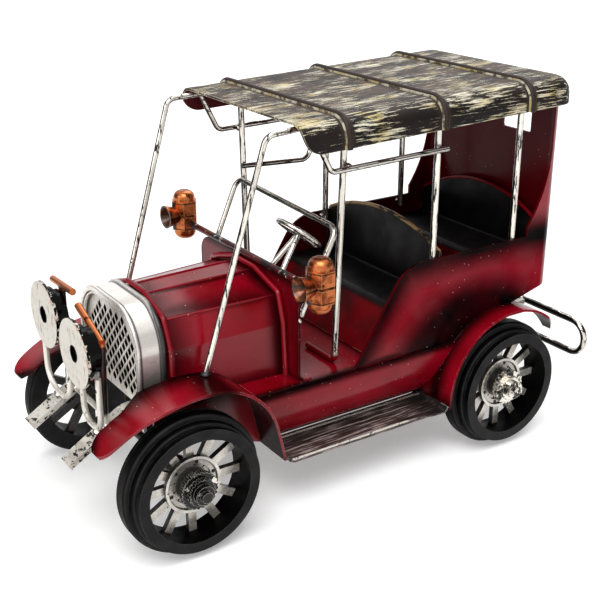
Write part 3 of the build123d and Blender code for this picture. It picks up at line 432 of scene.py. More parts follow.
axle_of = {end: axle_place(end) for end in ("front", "rear")}
sides = {"left": 1, "right": -1}
along_x, along_y, along_z = (1, 0, 0), (0, 1, 0), (0, 0, 1)
nose_slope = (0.85, 0, 0.527)
wear("body_tub", red_paint(
    "tub red",
    [
        (nose_slope, 29.3, 15.0, 1.0),
        (along_z, 99.6, 16.0, 1.0),
        (along_x, -119.5, 6.0, 0.8),
        (along_z, 57.0, 3.5, 0.85),
    ],
    [(-70.0, 31.0, 44.0, 63.0, 1.0)],
    tub_inside_shade,
    0.45,
))
wear("hood", red_paint("hood red", [
    (along_x, 31.0, 8.0, 0.95), (along_x, 84.5, 20.0, 0.8), (along_z, 57.0, 8.0, 0.7),
    ((0.018, 1, 0), 9.2, 2.2, 0.8), ((0.018, -1, 0), 9.2, 2.2, 0.8),
    ((-0.018, 0, 1), 91.6, 3.2, 0.75),
]))
wear("hood_beads", red_paint("bead red", [(along_x, 82.6, 1.5, 0.5)]))
wear("dash_panel", red_paint("dash red", [
    (along_y, 43.0, 7.0, 0.8), (along_y, -43.0, 7.0, 0.8),
    (along_z, 102.0, 9.0, 0.9), (along_z, 57.0, 7.0, 0.7), (along_x, 27.5, 3.0, 0.5),
]))
wear("floor_pan", red_paint("floor red", [
    (along_y, 46.0, 6.0, 1.0), (along_y, -46.0, 6.0, 1.0),
    (along_x, 27.0, 6.0, 0.7), (along_x, -11.0, 6.0, 0.7),
]))
for side, hand in sides.items():
    wear(f"front_fender_{side}", red_paint(
        f"front fender red {side}",
        [
            ((0.8, -0.6 * hand, 0), 75.0, 5.5, 1.0),
            (along_y, 30.5 * hand, 15.0, 1.0),
            (along_z, 26.0, 7.0, 0.6),
        ],
        [(70.0, 70.0, 4.0, 15.0, 0.9)],
        fender_inside_shade(*axle_of["front"]),
        0.5,
    ))
    wear(f"rear_fender_{side}", red_paint(
        f"rear fender red {side}",
        [(along_y, 45.0 * hand, 9.0, 1.0), (along_x, -121.0, 9.0, 0.8), (along_z, 26.5, 12.0, 0.9)],
        [],
        fender_inside_shade(*axle_of["rear"]),
    ))
    sill_mist = [(along_z, 26.5, 8.0, 0.9), (along_z, 55.8, 4.5, 1.0)]
    wear(f"sill_{side}", red_paint(f"sill red {side}", sill_mist, shine=0.22))
    wear(f"hood_apron_{side}", red_paint(f"apron red {side}", [(along_z, 57.0, 12.0, 1.0)]))
print("red pieces painted, axles at", axle_of)

# %% [markdown]
# The roof is a sheet painted brown-black, then dry-brushed: a nearly dry brush of cream is
# dragged along the car and catches only high spots, most of all the bends and the ribs.
# Noise stretched along the car gives the brush hairs. Its threshold falls near the bends, so
# the streaks join up there.

# %% Brush strokes on the roof
roof_brown = tint(0.27, 0.215, 0.19)
roof_black = tint(0.085, 0.075, 0.07)
roof_cream = tint(0.90, 0.87, 0.78)
roof_yellow = tint(0.80, 0.73, 0.52)
bench = Bench("dry-brushed roof")
off_middle = bench.math("ABSOLUTE", bench.y)
on_side = bench.band(off_middle, 44.0, 50.0)
colour = bench.mix(bench.band(bench.noise(0.09, 4.0), 0.35, 0.65), roof_black, roof_brown)
# Painted shade: the roof's sides are darker than its top.
colour = bench.mix(bench.times(on_side, 0.9), colour, roof_black)

# Brush hairs, broken by slower strokes, reach a level more often at the bends
hairs = bench.noise(1.5, 6.0, 0.72, (0.05, 1.0, 1.0))
strokes = bench.noise(0.075, 3.0, 0.6, (0.35, 1.0, 1.0))
drag = bench.plus(bench.times(hairs, 0.63), bench.times(strokes, 0.37))
bend = mist_near_plane(bench, (0, 0, 1), 171.0, 5.0)
catch = bench.times(bench.band(off_middle, 40.0, 47.0), bend, 0.02)
brushed = bench.band(bench.plus(drag, catch), 0.539, 0.547)
print("strokes drawn")

# %% [markdown]
# The ribs are pressed into the sheet. The brush slid over them, so they are dark on top and beside
# their feet, and the cream line along each foot is a painted highlight. The roof leans two degrees,
# and the
# ribs stand square to it: a place along the roof tells how far a point is from the nearest rib.
# Under the roof and on its inner faces the sheet is a shaded dark red: painted shade.

# %% Ribs and underside of the roof
roof_ahead = (math.cos(math.radians(2)), 0, -math.sin(math.radians(2)))
along_roof = bench.vector("DOT_PRODUCT", bench.mm, roof_ahead)
rib_middle, rib_pitch = -46.03, 50.5
to_middle = bench.math("ABSOLUTE", bench.minus(along_roof, rib_middle))
rib_off = bench.math("MINIMUM", to_middle, bench.math("ABSOLUTE", bench.minus(to_middle, rib_pitch)))
brushed = bench.times(brushed, bench.band(rib_off, 2.6, 4.2))
broken = bench.band(bench.noise(0.25, 4.0, 0.65), 0.42, 0.54, 0.1, 0.8)
# Painted highlight: a cream line along each foot of a rib.
rib_foot_highlight = bench.times(bench.band(rib_off, 1.4, 1.48), bench.band(rib_off, 1.85, 1.75), broken)
colour = bench.mix(bench.band(rib_off, 4.0, 2.5), colour, bench.mix(0.4, roof_black, roof_brown))

cream = bench.mix(bench.band(bench.noise(0.1, 2.0), 0.42, 0.66), roof_cream, roof_yellow)
colour = bench.mix(bench.times(brushed, 0.9), colour, cream)
colour = bench.mix(rib_foot_highlight, colour, cream)
hem = bench.times(bench.edges(0.7), bench.band(rib_off, 3.0, 5.0, 0.0, 0.7))
colour = bench.mix(hem, colour, cream)
# Painted shade: dark red under the roof and on its inner faces.
under = bench.band(bench.facing_z, -0.3, -0.7)
within = bench.most(under, bench.band(bench.outwards(), -0.5, -0.8))
colour = bench.mix(within, colour, shadow_red)
relief = bench.plus(brushed, bench.times(hairs, 0.4))
gloss = bench.band(drag, 0.4, 0.6, 0.6, 0.45)
wear("roof_canopy", bench.finish_with(colour, gloss, relief, 0.04, mirror=0.2))
print("roof brushed")

# %% [markdown]
# The seats are the same sheet under black paint, worn to a brassy edge along the backs.
# Their risers keep the red of the floor. One finish serves both: the colour changes at the
# height where the cushion ends, and the brass shows where the rounded normal finds an edge.

# %% Seats
seat_black = tint(0.045, 0.042, 0.045)
brass_rub = tint(0.62, 0.50, 0.34)


def seat_paint(name, riser_x, cushion_z):
    """Black paint with a brassy rub, red on the riser in front of and below the cushion."""
    bench = Bench(name)
    cloud = bench.band(bench.noise(0.1, 4.0), 0.4, 0.7)
    colour = bench.mix(cloud, seat_black, tint(0.10, 0.088, 0.09))
    low = bench.band(bench.z, cushion_z, cushion_z - 2.5)
    ahead = bench.band(bench.x, riser_x - 3.0, riser_x)
    red = bench.mix(bench.band(bench.noise(0.05), 0.35, 0.65), shadow_red, deep_red)
    colour = bench.mix(bench.times(low, ahead), colour, red)
    rub = bench.times(bench.edges(0.8), bench.band(bench.noise(0.12, 4.0), 0.38, 0.6))
    colour = bench.mix(rub, colour, brass_rub)
    scuff = bench.flecks(0.16, 0.08, 0.06, 0.52, 0.6)
    colour = bench.mix(bench.times(scuff, 0.5), colour, dust)
    gloss = bench.band(bench.noise(0.12), 0.3, 0.7, 0.34, 0.5)
    return bench.finish_with(colour, gloss, bench.noise(0.7), 0.03, mirror=0.16)


wear("front_seat", seat_paint("front seat black", -24.0, 79.5))
wear("rear_seat", seat_paint("rear seat black", -88.0, 88.0))
print("seats painted")

# %% [markdown]
# Posts, struts, rails and loops are steel wire with a thin silver wash over black. The wash has
# worn off in patches, and some red overspray sits beside the black. The radiator, the frame and
# the wheels have the same wash on flat metal; the frame shares this recipe with other patch sizes.

# %% Worn silver
silver = tint(0.88, 0.86, 0.82)
dull_silver = tint(0.74, 0.715, 0.68)
soot_and_shade = tint(0.07, 0.06, 0.06)
overspray = tint(0.24, 0.05, 0.06)


def worn_silver(
    name, patch=0.2, bare=0.62, polish=0.28, stretch=(1, 1, 1),
    rub=0.7, metal=0.9, red_below=0.0, shade_weights=None,
):
    """Silver wash: black shows where a patchy noise passes a level, edges are rubbed bright.

    Below a height the wire has been sprayed red with the floor. Painted shade: faces are turned black
    unless they look enough sideways and up, each direction with a weight.
    """
    bench = Bench(name)
    tone = bench.noise(0.12, 3.0, 0.55, stretch)
    colour = bench.mix(bench.band(tone, 0.35, 0.6), dull_silver, silver)
    patches = bench.noise(patch, 5.0, 0.66, stretch)
    colour = bench.mix(bench.band(patches, bare - 0.02, bare), colour, overspray)
    black = bench.band(patches, bare - 0.01, bare + 0.02)
    # Painted shade: faces that look down or along the car turn black, broken up by the patches.
    if shade_weights:
        beside = bench.times(bench.math("ABSOLUTE", bench.facing_y), shade_weights[0])
        above = bench.times(bench.facing_z, shade_weights[1])
        lit_by_facing = bench.plus(beside, above, bench.times(patches, 1.3))
        black = bench.most(black, bench.band(lit_by_facing, 0.98, 0.86))
    colour = bench.mix(black, colour, soot_and_shade)
    if rub:
        bright = bench.times(bench.edges(0.45), rub)
        colour = bench.mix(bright, colour, silver)
        black = bench.minus(black, bright)
    metallic = bench.band(black, 0.0, 1.0, metal, 0.0)
    if red_below:
        sprayed = bench.band(bench.z, red_below, red_below - 2.0)
        colour = bench.mix(sprayed, colour, deep_red)
        metallic = bench.times(metallic, bench.minus(1.0, sprayed))
    gloss = bench.band(bench.noise(0.3, 3.0, 0.6), 0.3, 0.7, polish - 0.04, polish + 0.06)
    return bench.finish_with(colour, gloss, patches, 0.008, metallic, mirror=0.3)


wire_shade_weights, upright_shade_weights = (0.65, 0.6), (0.65, 0.15)
wire_upright = worn_silver(
    "silver wire upright", 0.6, 0.585, 0.2, (1, 1, 0.12), 0.0, shade_weights=upright_shade_weights
)
wire_along = worn_silver("silver wire along", 0.6, 0.585, 0.2, (0.12, 1, 1), 0.0, shade_weights=wire_shade_weights)
wire_across = worn_silver("silver wire across", 0.6, 0.62, 0.24, (1, 0.5, 1), 0.0, shade_weights=wire_shade_weights)
wire_with_red_feet = worn_silver(
    "silver wire with red feet", 0.6, 0.585, 0.2, (1, 1, 0.12), 0.0,
    red_below=63.0, shade_weights=upright_shade_weights,
)
for name in ("middle_posts", "rear_posts", "front_struts"):
    wear(name, wire_upright)
wear("front_posts", wire_with_red_feet)
for name in ("side_rails", "door_wire", "board_rods"):
    wear(name, wire_along)
for name in ("windshield_frame", "steering_wheel"):
    wear(name, wire_across)
wire_satin = worn_silver("satin wire", 0.5, 0.63, 0.4, (1, 1, 0.4), 0.0, metal=0.55)
for name in ("lamp_loops", "front_crossbar"):
    wear(name, wire_satin)
wear("rear_bumper", worn_silver(
    "bumper wire", 0.3, 0.55, 0.22, (1, 0.15, 0.6), 0.0, shade_weights=(0.75, 0.3)
))
wear("frame_rails", worn_silver("silver frame", 0.4, 0.575, 0.3, (1, 0.5, 1), metal=0.45))
print("wires and frame washed")

# %% [markdown]
# The radiator shell is the smoothest metal on the model: satin silver, with painted shade darkening
# it towards the fenders, and black left in the two seams beside its beads and on the rear bead. The
# seams are planes across the car, so their places along it come from the shell's own box.

# %% Radiator shell
low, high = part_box("radiator_shell")
seams_x = (low.x * 1000 + 2.7, high.x * 1000 - 2.0)
rear_bead_x = low.x * 1000 + 0.9
bench = Bench("satin shell")
tone = bench.noise(0.06, 2.0, 0.5, (0.3, 1, 1))
colour = bench.mix(bench.band(tone, 0.3, 0.7), tint(0.87, 0.845, 0.82), tint(0.97, 0.955, 0.935))
# Painted shade: grey, then black, towards the bottom near the fenders.
colour = bench.mix(bench.band(bench.z, 92.0, 62.0, 0.0, 0.8), colour, tint(0.34, 0.32, 0.31))
colour = bench.mix(bench.band(bench.z, 74.0, 57.0, 0.0, 0.75), colour, soot_and_shade)
specks = bench.flecks(0.35, 0.06, 0.08, 0.5, 0.6)
black = bench.times(specks, 0.8)
for seam_x in seams_x:
    line = bench.times(mist_near_plane(bench, along_x, seam_x, 0.8), 0.95)
    black = bench.most(black, line)
bead = mist_near_plane(bench, along_x, rear_bead_x, 2.6)
bead = bench.times(bead, bench.band(bench.z, 99.0, 91.0, 0.4, 1.0))
black = bench.most(black, bench.band(bead, 0.2, 0.5, 0.0, 0.97))
colour = bench.mix(black, colour, soot_and_shade)
gloss = bench.band(bench.noise(0.2, 3.0, 0.6, (0.3, 1, 1)), 0.3, 0.7, 0.24, 0.33)
metallic = bench.band(black, 0.0, 1.0, 0.6, 0.1)
wear("radiator_shell", bench.finish_with(colour, gloss, tone, 0.01, metallic))
print("shell seams at", seams_x)

# %% [markdown]
# The grille is a pierced plate. Its bars are wiped bright in front, and the walls of the holes are
# painted black as shade, which makes them look deep. The walls are the faces that don't look ahead.

# %% Grille
bench = Bench("silver grille")
patches = bench.noise(0.35, 5.0, 0.66)
colour = bench.mix(bench.band(bench.noise(0.12), 0.35, 0.65), dull_silver, silver)
# Painted shade on the walls of the holes, and black where the wash wore off in patches.
black = bench.most(bench.band(bench.facing_x, 0.85, 0.6), bench.band(patches, 0.62, 0.64, 0.0, 0.85))
colour = bench.mix(black, colour, tint(0.03, 0.03, 0.03))
metallic = bench.band(black, 0.0, 1.0, 0.5, 0.0)
wear("grille", bench.finish_with(colour, 0.3, patches, 0.01, metallic, mirror=0.1))
print("grille wiped")

# %% [markdown]
# Wheels are cut from bright sheet. Black has run behind the spokes, down their cut sides and into
# the recess of the flange, and the silver was wiped over the faces that look out. So the finish
# asks which way a face looks, and how far it is from its axle.

# %% Spoked wheels
def mist_near_ring(bench, radius, middle, width):
    """1 on a circle about the axle, falling to 0 at a width from it."""
    return bench.band(bench.math("ABSOLUTE", bench.minus(radius, middle)), width, 0.0)


def wheel_silver(name, axle):
    """Bright metal on faces that look out, soot on the other ones and in rings about the axle."""
    bench = Bench(name)
    radius = bench.from_axle(*axle)
    patches = bench.noise(0.3, 5.0, 0.66)
    colour = bench.mix(bench.band(bench.noise(0.12, 3.0), 0.35, 0.65), dull_silver, silver)
    recess = bench.times(bench.band(radius, 11.3, 10.9), bench.band(radius, 5.8, 6.2))
    ring = mist_near_ring(bench, radius, 11.1, 0.45)
    black = bench.most(
        bench.times(recess, 0.25),
        bench.times(ring, 0.9),
        bench.band(radius, 8.2, 6.8, 0.0, 0.9),
        bench.band(patches, 0.67, 0.69),
        bench.band(bench.outwards(), 0.6, 0.3, 0.0, 0.93),
    )
    colour = bench.mix(black, colour, soot_and_shade)
    metallic = bench.band(black, 0.0, 1.0, 0.6, 0.1)
    gloss = bench.band(bench.noise(0.3, 3.0, 0.6), 0.3, 0.7, 0.2, 0.32)
    return bench.finish_with(colour, gloss, patches, 0.01, metallic, mirror=0.3)


for end, axle in axle_of.items():
    for side in sides:
        wear(f"wheel_{end}_{side}", wheel_silver(f"silver spokes {end} {side}", axle))
print("wheels washed")

# %% [markdown]
# Hub caps are turned and knurled. At the front nearly all the black enamel is left, and at the rear
# about half of it. The level of a patchy noise decides how much, and the edges are rubbed bright.

# %% Hub caps
def cap_paint(name, bare, metal):
    """Hub cap: black enamel and bright metal in broad patches, every edge rubbed bright."""
    bench = Bench(name)
    patches = bench.noise(0.22, 4.0, 0.6)
    rubbed = bench.times(bench.edges(0.35), bench.band(bench.noise(0.18, 3.0), 0.36, 0.5, 0.45, 1.0))
    bright = bench.most(bench.band(patches, bare + 0.015, bare), rubbed)
    colour = bench.mix(bright, tint(0.055, 0.05, 0.05), silver)
    gloss = bench.band(bench.noise(0.3, 3.0), 0.3, 0.7, 0.18, 0.3)
    metallic = bench.times(bright, metal)
    return bench.finish_with(colour, gloss, patches, 0.01, metallic, mirror=0.35)


cap_levels = {"front": 0.35, "rear": 0.535}
for end, bare in cap_levels.items():
    for side in sides:
        wear(f"hub_cap_{end}_{side}", cap_paint(f"hub cap {end} {side}", bare, 0.85))
print("hub caps rubbed")

# %% [markdown]
# Tyres are solid metal rings in satin black. Turning has left fine circles, and the sharp steps
# shine a little where the paint is thin. The circles follow the distance from the axle, so each
# tyre's finish is told where its axle is.

# %% Tyres
def tyre_paint(name, axle):
    """Satin black with faint circles about the axle and a grey rub on the steps; painted sheen makes
    the side faces lighter than the tread.
    """
    bench = Bench(name)
    circles = bench.math("SINE", bench.times(bench.from_axle(*axle), 9.0))
    cloud = bench.band(bench.noise(0.12, 4.0), 0.4, 0.7)
    colour = bench.mix(cloud, tint(0.105, 0.104, 0.106), tint(0.15, 0.148, 0.148))
    # Painted light: the side faces are lighter, for their satin sheen, and the tread is darker, as
    # shade.
    side_faces_painted_lighter = bench.band(bench.math("ABSOLUTE", bench.facing_y), 0.5, 0.8)
    colour = bench.mix(side_faces_painted_lighter, tint(0.025, 0.025, 0.027), colour)
    rub = bench.times(bench.edges(0.35), bench.band(bench.noise(0.15, 4.0), 0.35, 0.65, 0.25, 0.7))
    colour = bench.mix(rub, colour, tint(0.40, 0.39, 0.38))
    gloss = bench.band(bench.noise(0.3, 3.0), 0.3, 0.7, 0.4, 0.54)
    mirror = bench.band(side_faces_painted_lighter, 0.0, 1.0, 0.05, 0.13)
    return bench.finish_with(colour, gloss, circles, 0.006, mirror=mirror)


for end, axle in axle_of.items():
    for side in sides:
        wear(f"tyre_{end}_{side}", tyre_paint(f"tyre black {end} {side}", axle))
print("tyres blackened")

# %% [markdown]
# Axles and straps are plain black iron, greyed on the edges. The radiator's core behind the grille
# is only there to be dark: it is painted shade, black and nearly without shine.

# %% Black iron, and painted shade behind the grille
def black_iron(name):
    """Plain black iron with grey rubs on its edges."""
    bench = Bench(name)
    colour = bench.mix(bench.band(bench.noise(0.2, 4.0), 0.4, 0.7), soot_and_shade, tint(0.16, 0.14, 0.14))
    colour = bench.mix(bench.times(bench.edges(0.5), 0.6), colour, dull_silver)
    gloss = bench.band(bench.noise(0.3), 0.3, 0.7, 0.35, 0.5)
    return bench.finish_with(colour, gloss, bench.noise(0.8), 0.05, 0.3)


for name in ("axle_straps", "front_axle", "rear_axle"):
    wear(name, black_iron(f"black iron {name}"))
# Painted shade: the core is a black plate that keeps the grille's holes dark.
bench = Bench("painted shade on the radiator core")
colour = bench.mix(bench.noise(0.2, 4.0), tint(0.03, 0.03, 0.03), tint(0.07, 0.06, 0.06))
wear("radiator_core", bench.finish_with(colour, 0.8, bench.noise(0.9), 0.05, mirror=0.05))
print("axles blackened")

# %% [markdown]
# Running boards look like old boards: black-brown paint with grey strokes brushed along them,
# and a bright worn outer edge. The strokes are the roof's recipe, finer and greyer.

# %% Running boards
def brushed_board(bench):
    """The strokes and their colours: black-brown, with greys where a stretched noise is high."""
    strokes = bench.noise(0.8, 5.0, 0.7, (0.07, 1.0, 1.0))
    darker, lighter = tint(0.10, 0.075, 0.075), tint(0.33, 0.27, 0.26)
    brown = bench.mix(bench.band(strokes, 0.35, 0.6), darker, lighter)
    return strokes, bench.mix(bench.band(strokes, 0.53, 0.60), brown, tint(0.62, 0.57, 0.55))


bench = Bench("brushed board")
strokes, colour = brushed_board(bench)
colour = bench.mix(bench.band(strokes, 0.45, 0.40), colour, tint(0.05, 0.04, 0.04))
off_middle = bench.math("ABSOLUTE", bench.y)
broken = bench.band(bench.noise(0.3, 4.0, 0.65), 0.40, 0.46)
rim = bench.times(bench.band(off_middle, 51.3, 51.7), bench.band(bench.z, 25.1, 25.5), broken)
colour = bench.mix(rim, colour, silver)
board_finish = bench.finish_with(colour, bench.band(strokes, 0.3, 0.7, 0.42, 0.6), strokes, 0.2, 0.15)
for side in sides:
    wear(f"running_board_{side}", board_finish)
print("boards brushed")

# %% [markdown]
# Head lamps have a cream enamelled disc, chipped at the rim, on a glossy black drum. Disc and drum
# are one solid: the colour changes by place along the car, and by the distance from the disc's
# middle. The eye is a hole: its walls are painted black as shade so that it stays black, and a ragged
# black ring of paint lies round it.

# %% Head lamps
lamp_cream = tint(0.80, 0.775, 0.73)
copper = tint(0.72, 0.41, 0.245)


def lamp_enamel(name, centre, seam_x):
    """Cream enamel with flecks on the disc's face, black rim and drum, copper chips on the left."""
    bench = Bench(name)
    cloud = bench.band(bench.noise(0.3, 4.0), 0.45, 0.75)
    colour = bench.mix(cloud, lamp_cream, tint(0.70, 0.68, 0.64))
    specks = bench.flecks(0.5, 0.1, 0.12, 0.5, 0.58)
    colour = bench.mix(specks, colour, tint(0.22, 0.18, 0.17))
    off = bench.vector("SUBTRACT", bench.mm, (0, centre.y * 1000, centre.z * 1000))
    radius = bench.vector("LENGTH", bench.vector("MULTIPLY", off, (0, 1, 1)))
    leftwards = bench.band(bench.vector("DOT_PRODUCT", off, (0, 0.8, 0.6)), 9.0, 12.0)
    ragged = bench.noise(0.35, 4.0, 0.65)
    chip = bench.band(bench.plus(radius, bench.times(ragged, 5.0)), 15.8, 16.2)
    chip = bench.times(chip, leftwards, bench.band(ragged, 0.45, 0.55))
    colour = bench.mix(chip, colour, copper)
    scratch = bench.band(bench.noise(0.7, 3.0, 0.6, (1, 1, 0.12)), 0.62, 0.66, 0.0, 0.8)
    scratch = bench.times(scratch, bench.band(bench.noise(0.1), 0.45, 0.55))
    colour = bench.mix(scratch, colour, soot_and_shade)
    behind = bench.band(bench.x, seam_x + 0.15, seam_x - 0.1)
    black = bench.most(behind, bench.band(bench.facing_x, 0.75, 0.5))
    before_seam = bench.band(bench.x, seam_x - 0.1, seam_x + 0.1)
    rim_chip = bench.times(bench.band(ragged, 0.52, 0.56), before_seam)
    colour = bench.mix(black, colour, bench.mix(rim_chip, tint(0.03, 0.028, 0.03), lamp_cream))
    gloss = bench.band(black, 0.0, 1.0, bench.band(bench.noise(0.4), 0.3, 0.7, 0.35, 0.5), 0.13)
    # Painted shade in the eye: the hole's walls are black and matt; the ragged ring round it is black
    # paint.
    eye = bench.band(bench.plus(radius, bench.times(ragged, 1.6)), 4.7, 4.3)
    colour = bench.mix(eye, colour, tint(0.02, 0.02, 0.02))
    gloss = bench.band(eye, 0.0, 1.0, gloss, 0.8)
    shine = bench.band(eye, 0.0, 1.0, bench.band(black, 0.0, 1.0, 0.4, 0.1), 0.02)
    return bench.finish_with(colour, gloss, bench.noise(0.6), 0.015, mirror=shine)


disc_thick = 1.2
for side in sides:
    low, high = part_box(f"head_lamp_{side}")
    seam_x = high.x * 1000 - disc_thick
    wear(f"head_lamp_{side}", lamp_enamel(f"lamp cream {side}", (low + high) / 2, seam_x))
print("head lamps enamelled")

# %% [markdown]
# Side lamps are copper washed. A real one is turned, with a nut round its waist, and the black that
# was wiped off the copper stays in the grooves of the nut and inside the cup.

# %% Side lamps
dark_copper = tint(0.30, 0.12, 0.07)


def copper_wash(name, hollow_x, nut_z, nut_half):
    """Copper, dark in patches, in the nut's grooves and inside the cup, and bright on its edges."""
    bench = Bench(name)
    patches = bench.noise(0.14, 4.0, 0.6)
    colour = bench.mix(bench.band(patches, 0.48, 0.68, 0.0, 0.85), copper, dark_copper)
    colour = bench.mix(bench.band(bench.noise(0.35, 4.0, 0.65), 0.63, 0.66), colour, soot_and_shade)
    groove = mist_near_plane(bench, along_z, nut_z, 0.9)
    for seam_z in (nut_z - nut_half, nut_z + nut_half):
        groove = bench.most(groove, mist_near_plane(bench, along_z, seam_z, 0.7))
    colour = bench.mix(bench.times(groove, 0.85), colour, soot_and_shade)
    colour = bench.mix(bench.times(bench.edges(0.8), 0.7), colour, tint(0.92, 0.60, 0.38))
    ahead = bench.band(bench.facing_x, 0.2, 0.6)
    uneven = bench.band(bench.noise(0.4, 3.0), 0.35, 0.5, 0.5, 1.0)
    in_cup = bench.times(bench.band(bench.x, hollow_x, hollow_x + 0.4), ahead, uneven)
    colour = bench.mix(in_cup, colour, soot_and_shade)
    gloss = bench.band(bench.noise(0.3), 0.3, 0.7, 0.24, 0.36)
    metallic = bench.band(in_cup, 0.0, 1.0, 0.9, 0.2)
    return bench.finish_with(colour, gloss, bench.noise(0.4), 0.02, metallic)


nut_half, cup_floor_x = 6.4, 33.5
for side in sides:
    low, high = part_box(f"side_lamp_{side}")
    nut_z = (low.z + high.z) * 500
    wear(f"side_lamp_{side}", copper_wash(f"copper {side}", cup_floor_x, nut_z, nut_half))
print("side lamps washed")

# %% [markdown]
# A bar lies across each head lamp, copper above and black on its leg. Both brackets are one node, so
# the height of the seam changes at the middle of the car: the left bar slopes from 97 down to 88,
# and the right one lies near 99. The rod between the side lamps is dark red, worn to black.

# %% Lamp brackets and rod
bench = Bench("bracket copper and black")
left_side = bench.band(bench.y, -4.0, -2.0)
seam = bench.band(left_side, 0.0, 1.0, 97.0, 87.0)
upper = bench.band(bench.minus(bench.z, seam), -0.5, 0.5)
patches = bench.noise(0.3, 4.0)
colour = bench.mix(bench.band(patches, 0.5, 0.6), soot_and_shade, overspray)
bar = bench.mix(bench.band(patches, 0.6, 0.68), copper, dark_copper)
colour = bench.mix(upper, colour, bar)
colour = bench.mix(bench.band(bench.z, 57.0, 54.0), colour, silver)
metallic = bench.band(upper, 0.0, 1.0, 0.3, 0.85)
wear("lamp_brackets", bench.finish_with(colour, 0.3, patches, 0.02, metallic))

bench = Bench("dark red rod")
patches = bench.noise(0.12, 4.0)
colour = bench.mix(bench.band(patches, 0.42, 0.55), tint(0.32, 0.05, 0.07), soot_and_shade)
colour = bench.mix(bench.band(bench.noise(0.3, 4.0), 0.6, 0.66), colour, dull_silver)
wear("lamp_rod", bench.finish_with(colour, 0.38, patches, 0.05, 0.2))
print("brackets and rod painted")

# %% [markdown]
# The small pieces that a maker adds last are all one kind of skin: rings of points, one behind
# another, joined by four-sided faces and closed by a lid at each end. A rivet is a few shrinking
# rings, a rod is one ring carried along its path. They could be modelled one by one in the solid
# model, but whole arrays of rings give dozens of them in a few lines, and they stay light.

# %% Skins over rings
def skin(name, stacks, body, finish):
    """One piece from stacks of rings: an array (stack, ring, point round the ring, xyz) in mm.

    Each point joins its neighbour and the same two points of the next ring. Lids close the ends.
    """
    count, rings, around = stacks.shape[:3]
    here = np.arange(around)
    after = np.roll(here, -1)
    rows = np.arange(rings - 1)[:, None] * around
    above = rows + around
    walls = np.stack([rows + here, rows + after, above + after, above + here], axis=-1)
    lids = np.stack([here[::-1], here + (rings - 1) * around])
    first = np.arange(count)[:, None, None] * rings * around
    walls = (walls.reshape(1, -1, 4) + first).reshape(-1, 4)
    lids = (lids[None] + first).reshape(-1, around)
    mesh = bpy.data.meshes.new(name)
    mesh.from_pydata((stacks.reshape(-1, 3) / 1000).tolist(), [], walls.tolist() + lids.tolist())
    mesh.shade_smooth()
    mesh.set_sharp_from_angle(angle=math.radians(40))
    mesh.materials.append(finish)
    piece = bpy.data.objects.new(name, mesh)
    bpy.context.collection.objects.link(piece)
    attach(piece, body)
    print(name, "has", count, "skins and", len(mesh.polygons), "faces")


def turn_of(around):
    """Cosines and sines of equal steps round a ring, shaped to multiply vectors."""
    angle = np.linspace(0, 2 * np.pi, around, endpoint=False)
    return np.cos(angle)[:, None], np.sin(angle)[:, None]


print("skins ready")

# %% [markdown]
# Each wheel's flange is held by round-headed rivets. On the real one a hand set squeezes them.
# They sit on a circle inside the raised lip, and ride on the wheel so that they turn with it.

# %% Rivets on the wheels
def domes(centres, out, radius, height, around=16, rings=7):
    """Round heads: the ring's radius falls as a cosine while it rises along out as a sine."""
    out = np.asarray(out, float)
    across = np.cross([0, 0, 1] if abs(out[2]) < 0.5 else [0, 1, 0], out)
    across /= np.linalg.norm(across)
    over = np.cross(out, across)
    lean = np.linspace(0, 0.47 * np.pi, rings)
    widths = np.concatenate([[radius], radius * np.cos(lean)])[:, None, None]
    rises = np.concatenate([[-height], height * np.sin(lean)])[:, None, None]
    cosine, sine = turn_of(around)
    head = widths * (cosine * across + sine * over) + rises * out
    return np.asarray(centres, float)[:, None, None] + head


rivet_count, rivet_circle, rivet_seat_y = 6, 10.05, 53.15
rivet_radius, rivet_height, rivet_start = 0.85, 0.6, -0.3
rivet_finish = black_iron("black rivets")
angle = rivet_start + np.linspace(0, 2 * np.pi, rivet_count, endpoint=False)
for end, (axle_x, axle_z) in axle_of.items():
    for side, hand in sides.items():
        seats = np.stack([
            axle_x + rivet_circle * np.cos(angle),
            np.full(rivet_count, hand * rivet_seat_y),
            axle_z + rivet_circle * np.sin(angle),
        ], axis=-1)
        heads = domes(seats, (0, hand, 0), rivet_radius, rivet_height)
        skin(f"rivets_{end}_{side}", heads, f"{end}_{side}_wheel", rivet_finish)

# %% [markdown]
# Where wires cross or stand on sheet, a drop of weld holds them. Each drop is a lumpy ball, a
# little flattened towards the sheet, and half of it is sunk in the pieces that it joins.

# %% Weld drops
def drops(centres, sizes, around=18, rings=11):
    """Weld drops: balls with a size along each axis, made lumpy by slow waves round and along."""
    centres, sizes = np.asarray(centres, float), np.asarray(sizes, float)
    tilt = np.linspace(0.03, 0.97, rings)[:, None] * np.pi
    spin = np.linspace(0, 2 * np.pi, around, endpoint=False)[None]
    across, along = np.sin(tilt) * np.cos(spin), np.sin(tilt) * np.sin(spin)
    ball = np.stack([across, along, -np.cos(tilt) + 0 * spin], axis=-1)
    phase = np.arange(len(centres))[:, None, None] * 1.7
    lumps = 1 + 0.13 * np.sin(2 * spin + phase) * np.sin(tilt)
    lumps = lumps + 0.08 * np.sin(3 * spin - 2 * tilt + phase)
    return centres[:, None, None] + sizes[:, None, None] * ball * lumps[..., None]


def both(place, size):
    """The same drop on the left and on the right of the car."""
    return (place, size), (tuple(np.multiply(place, (1, -1, 1))), size)


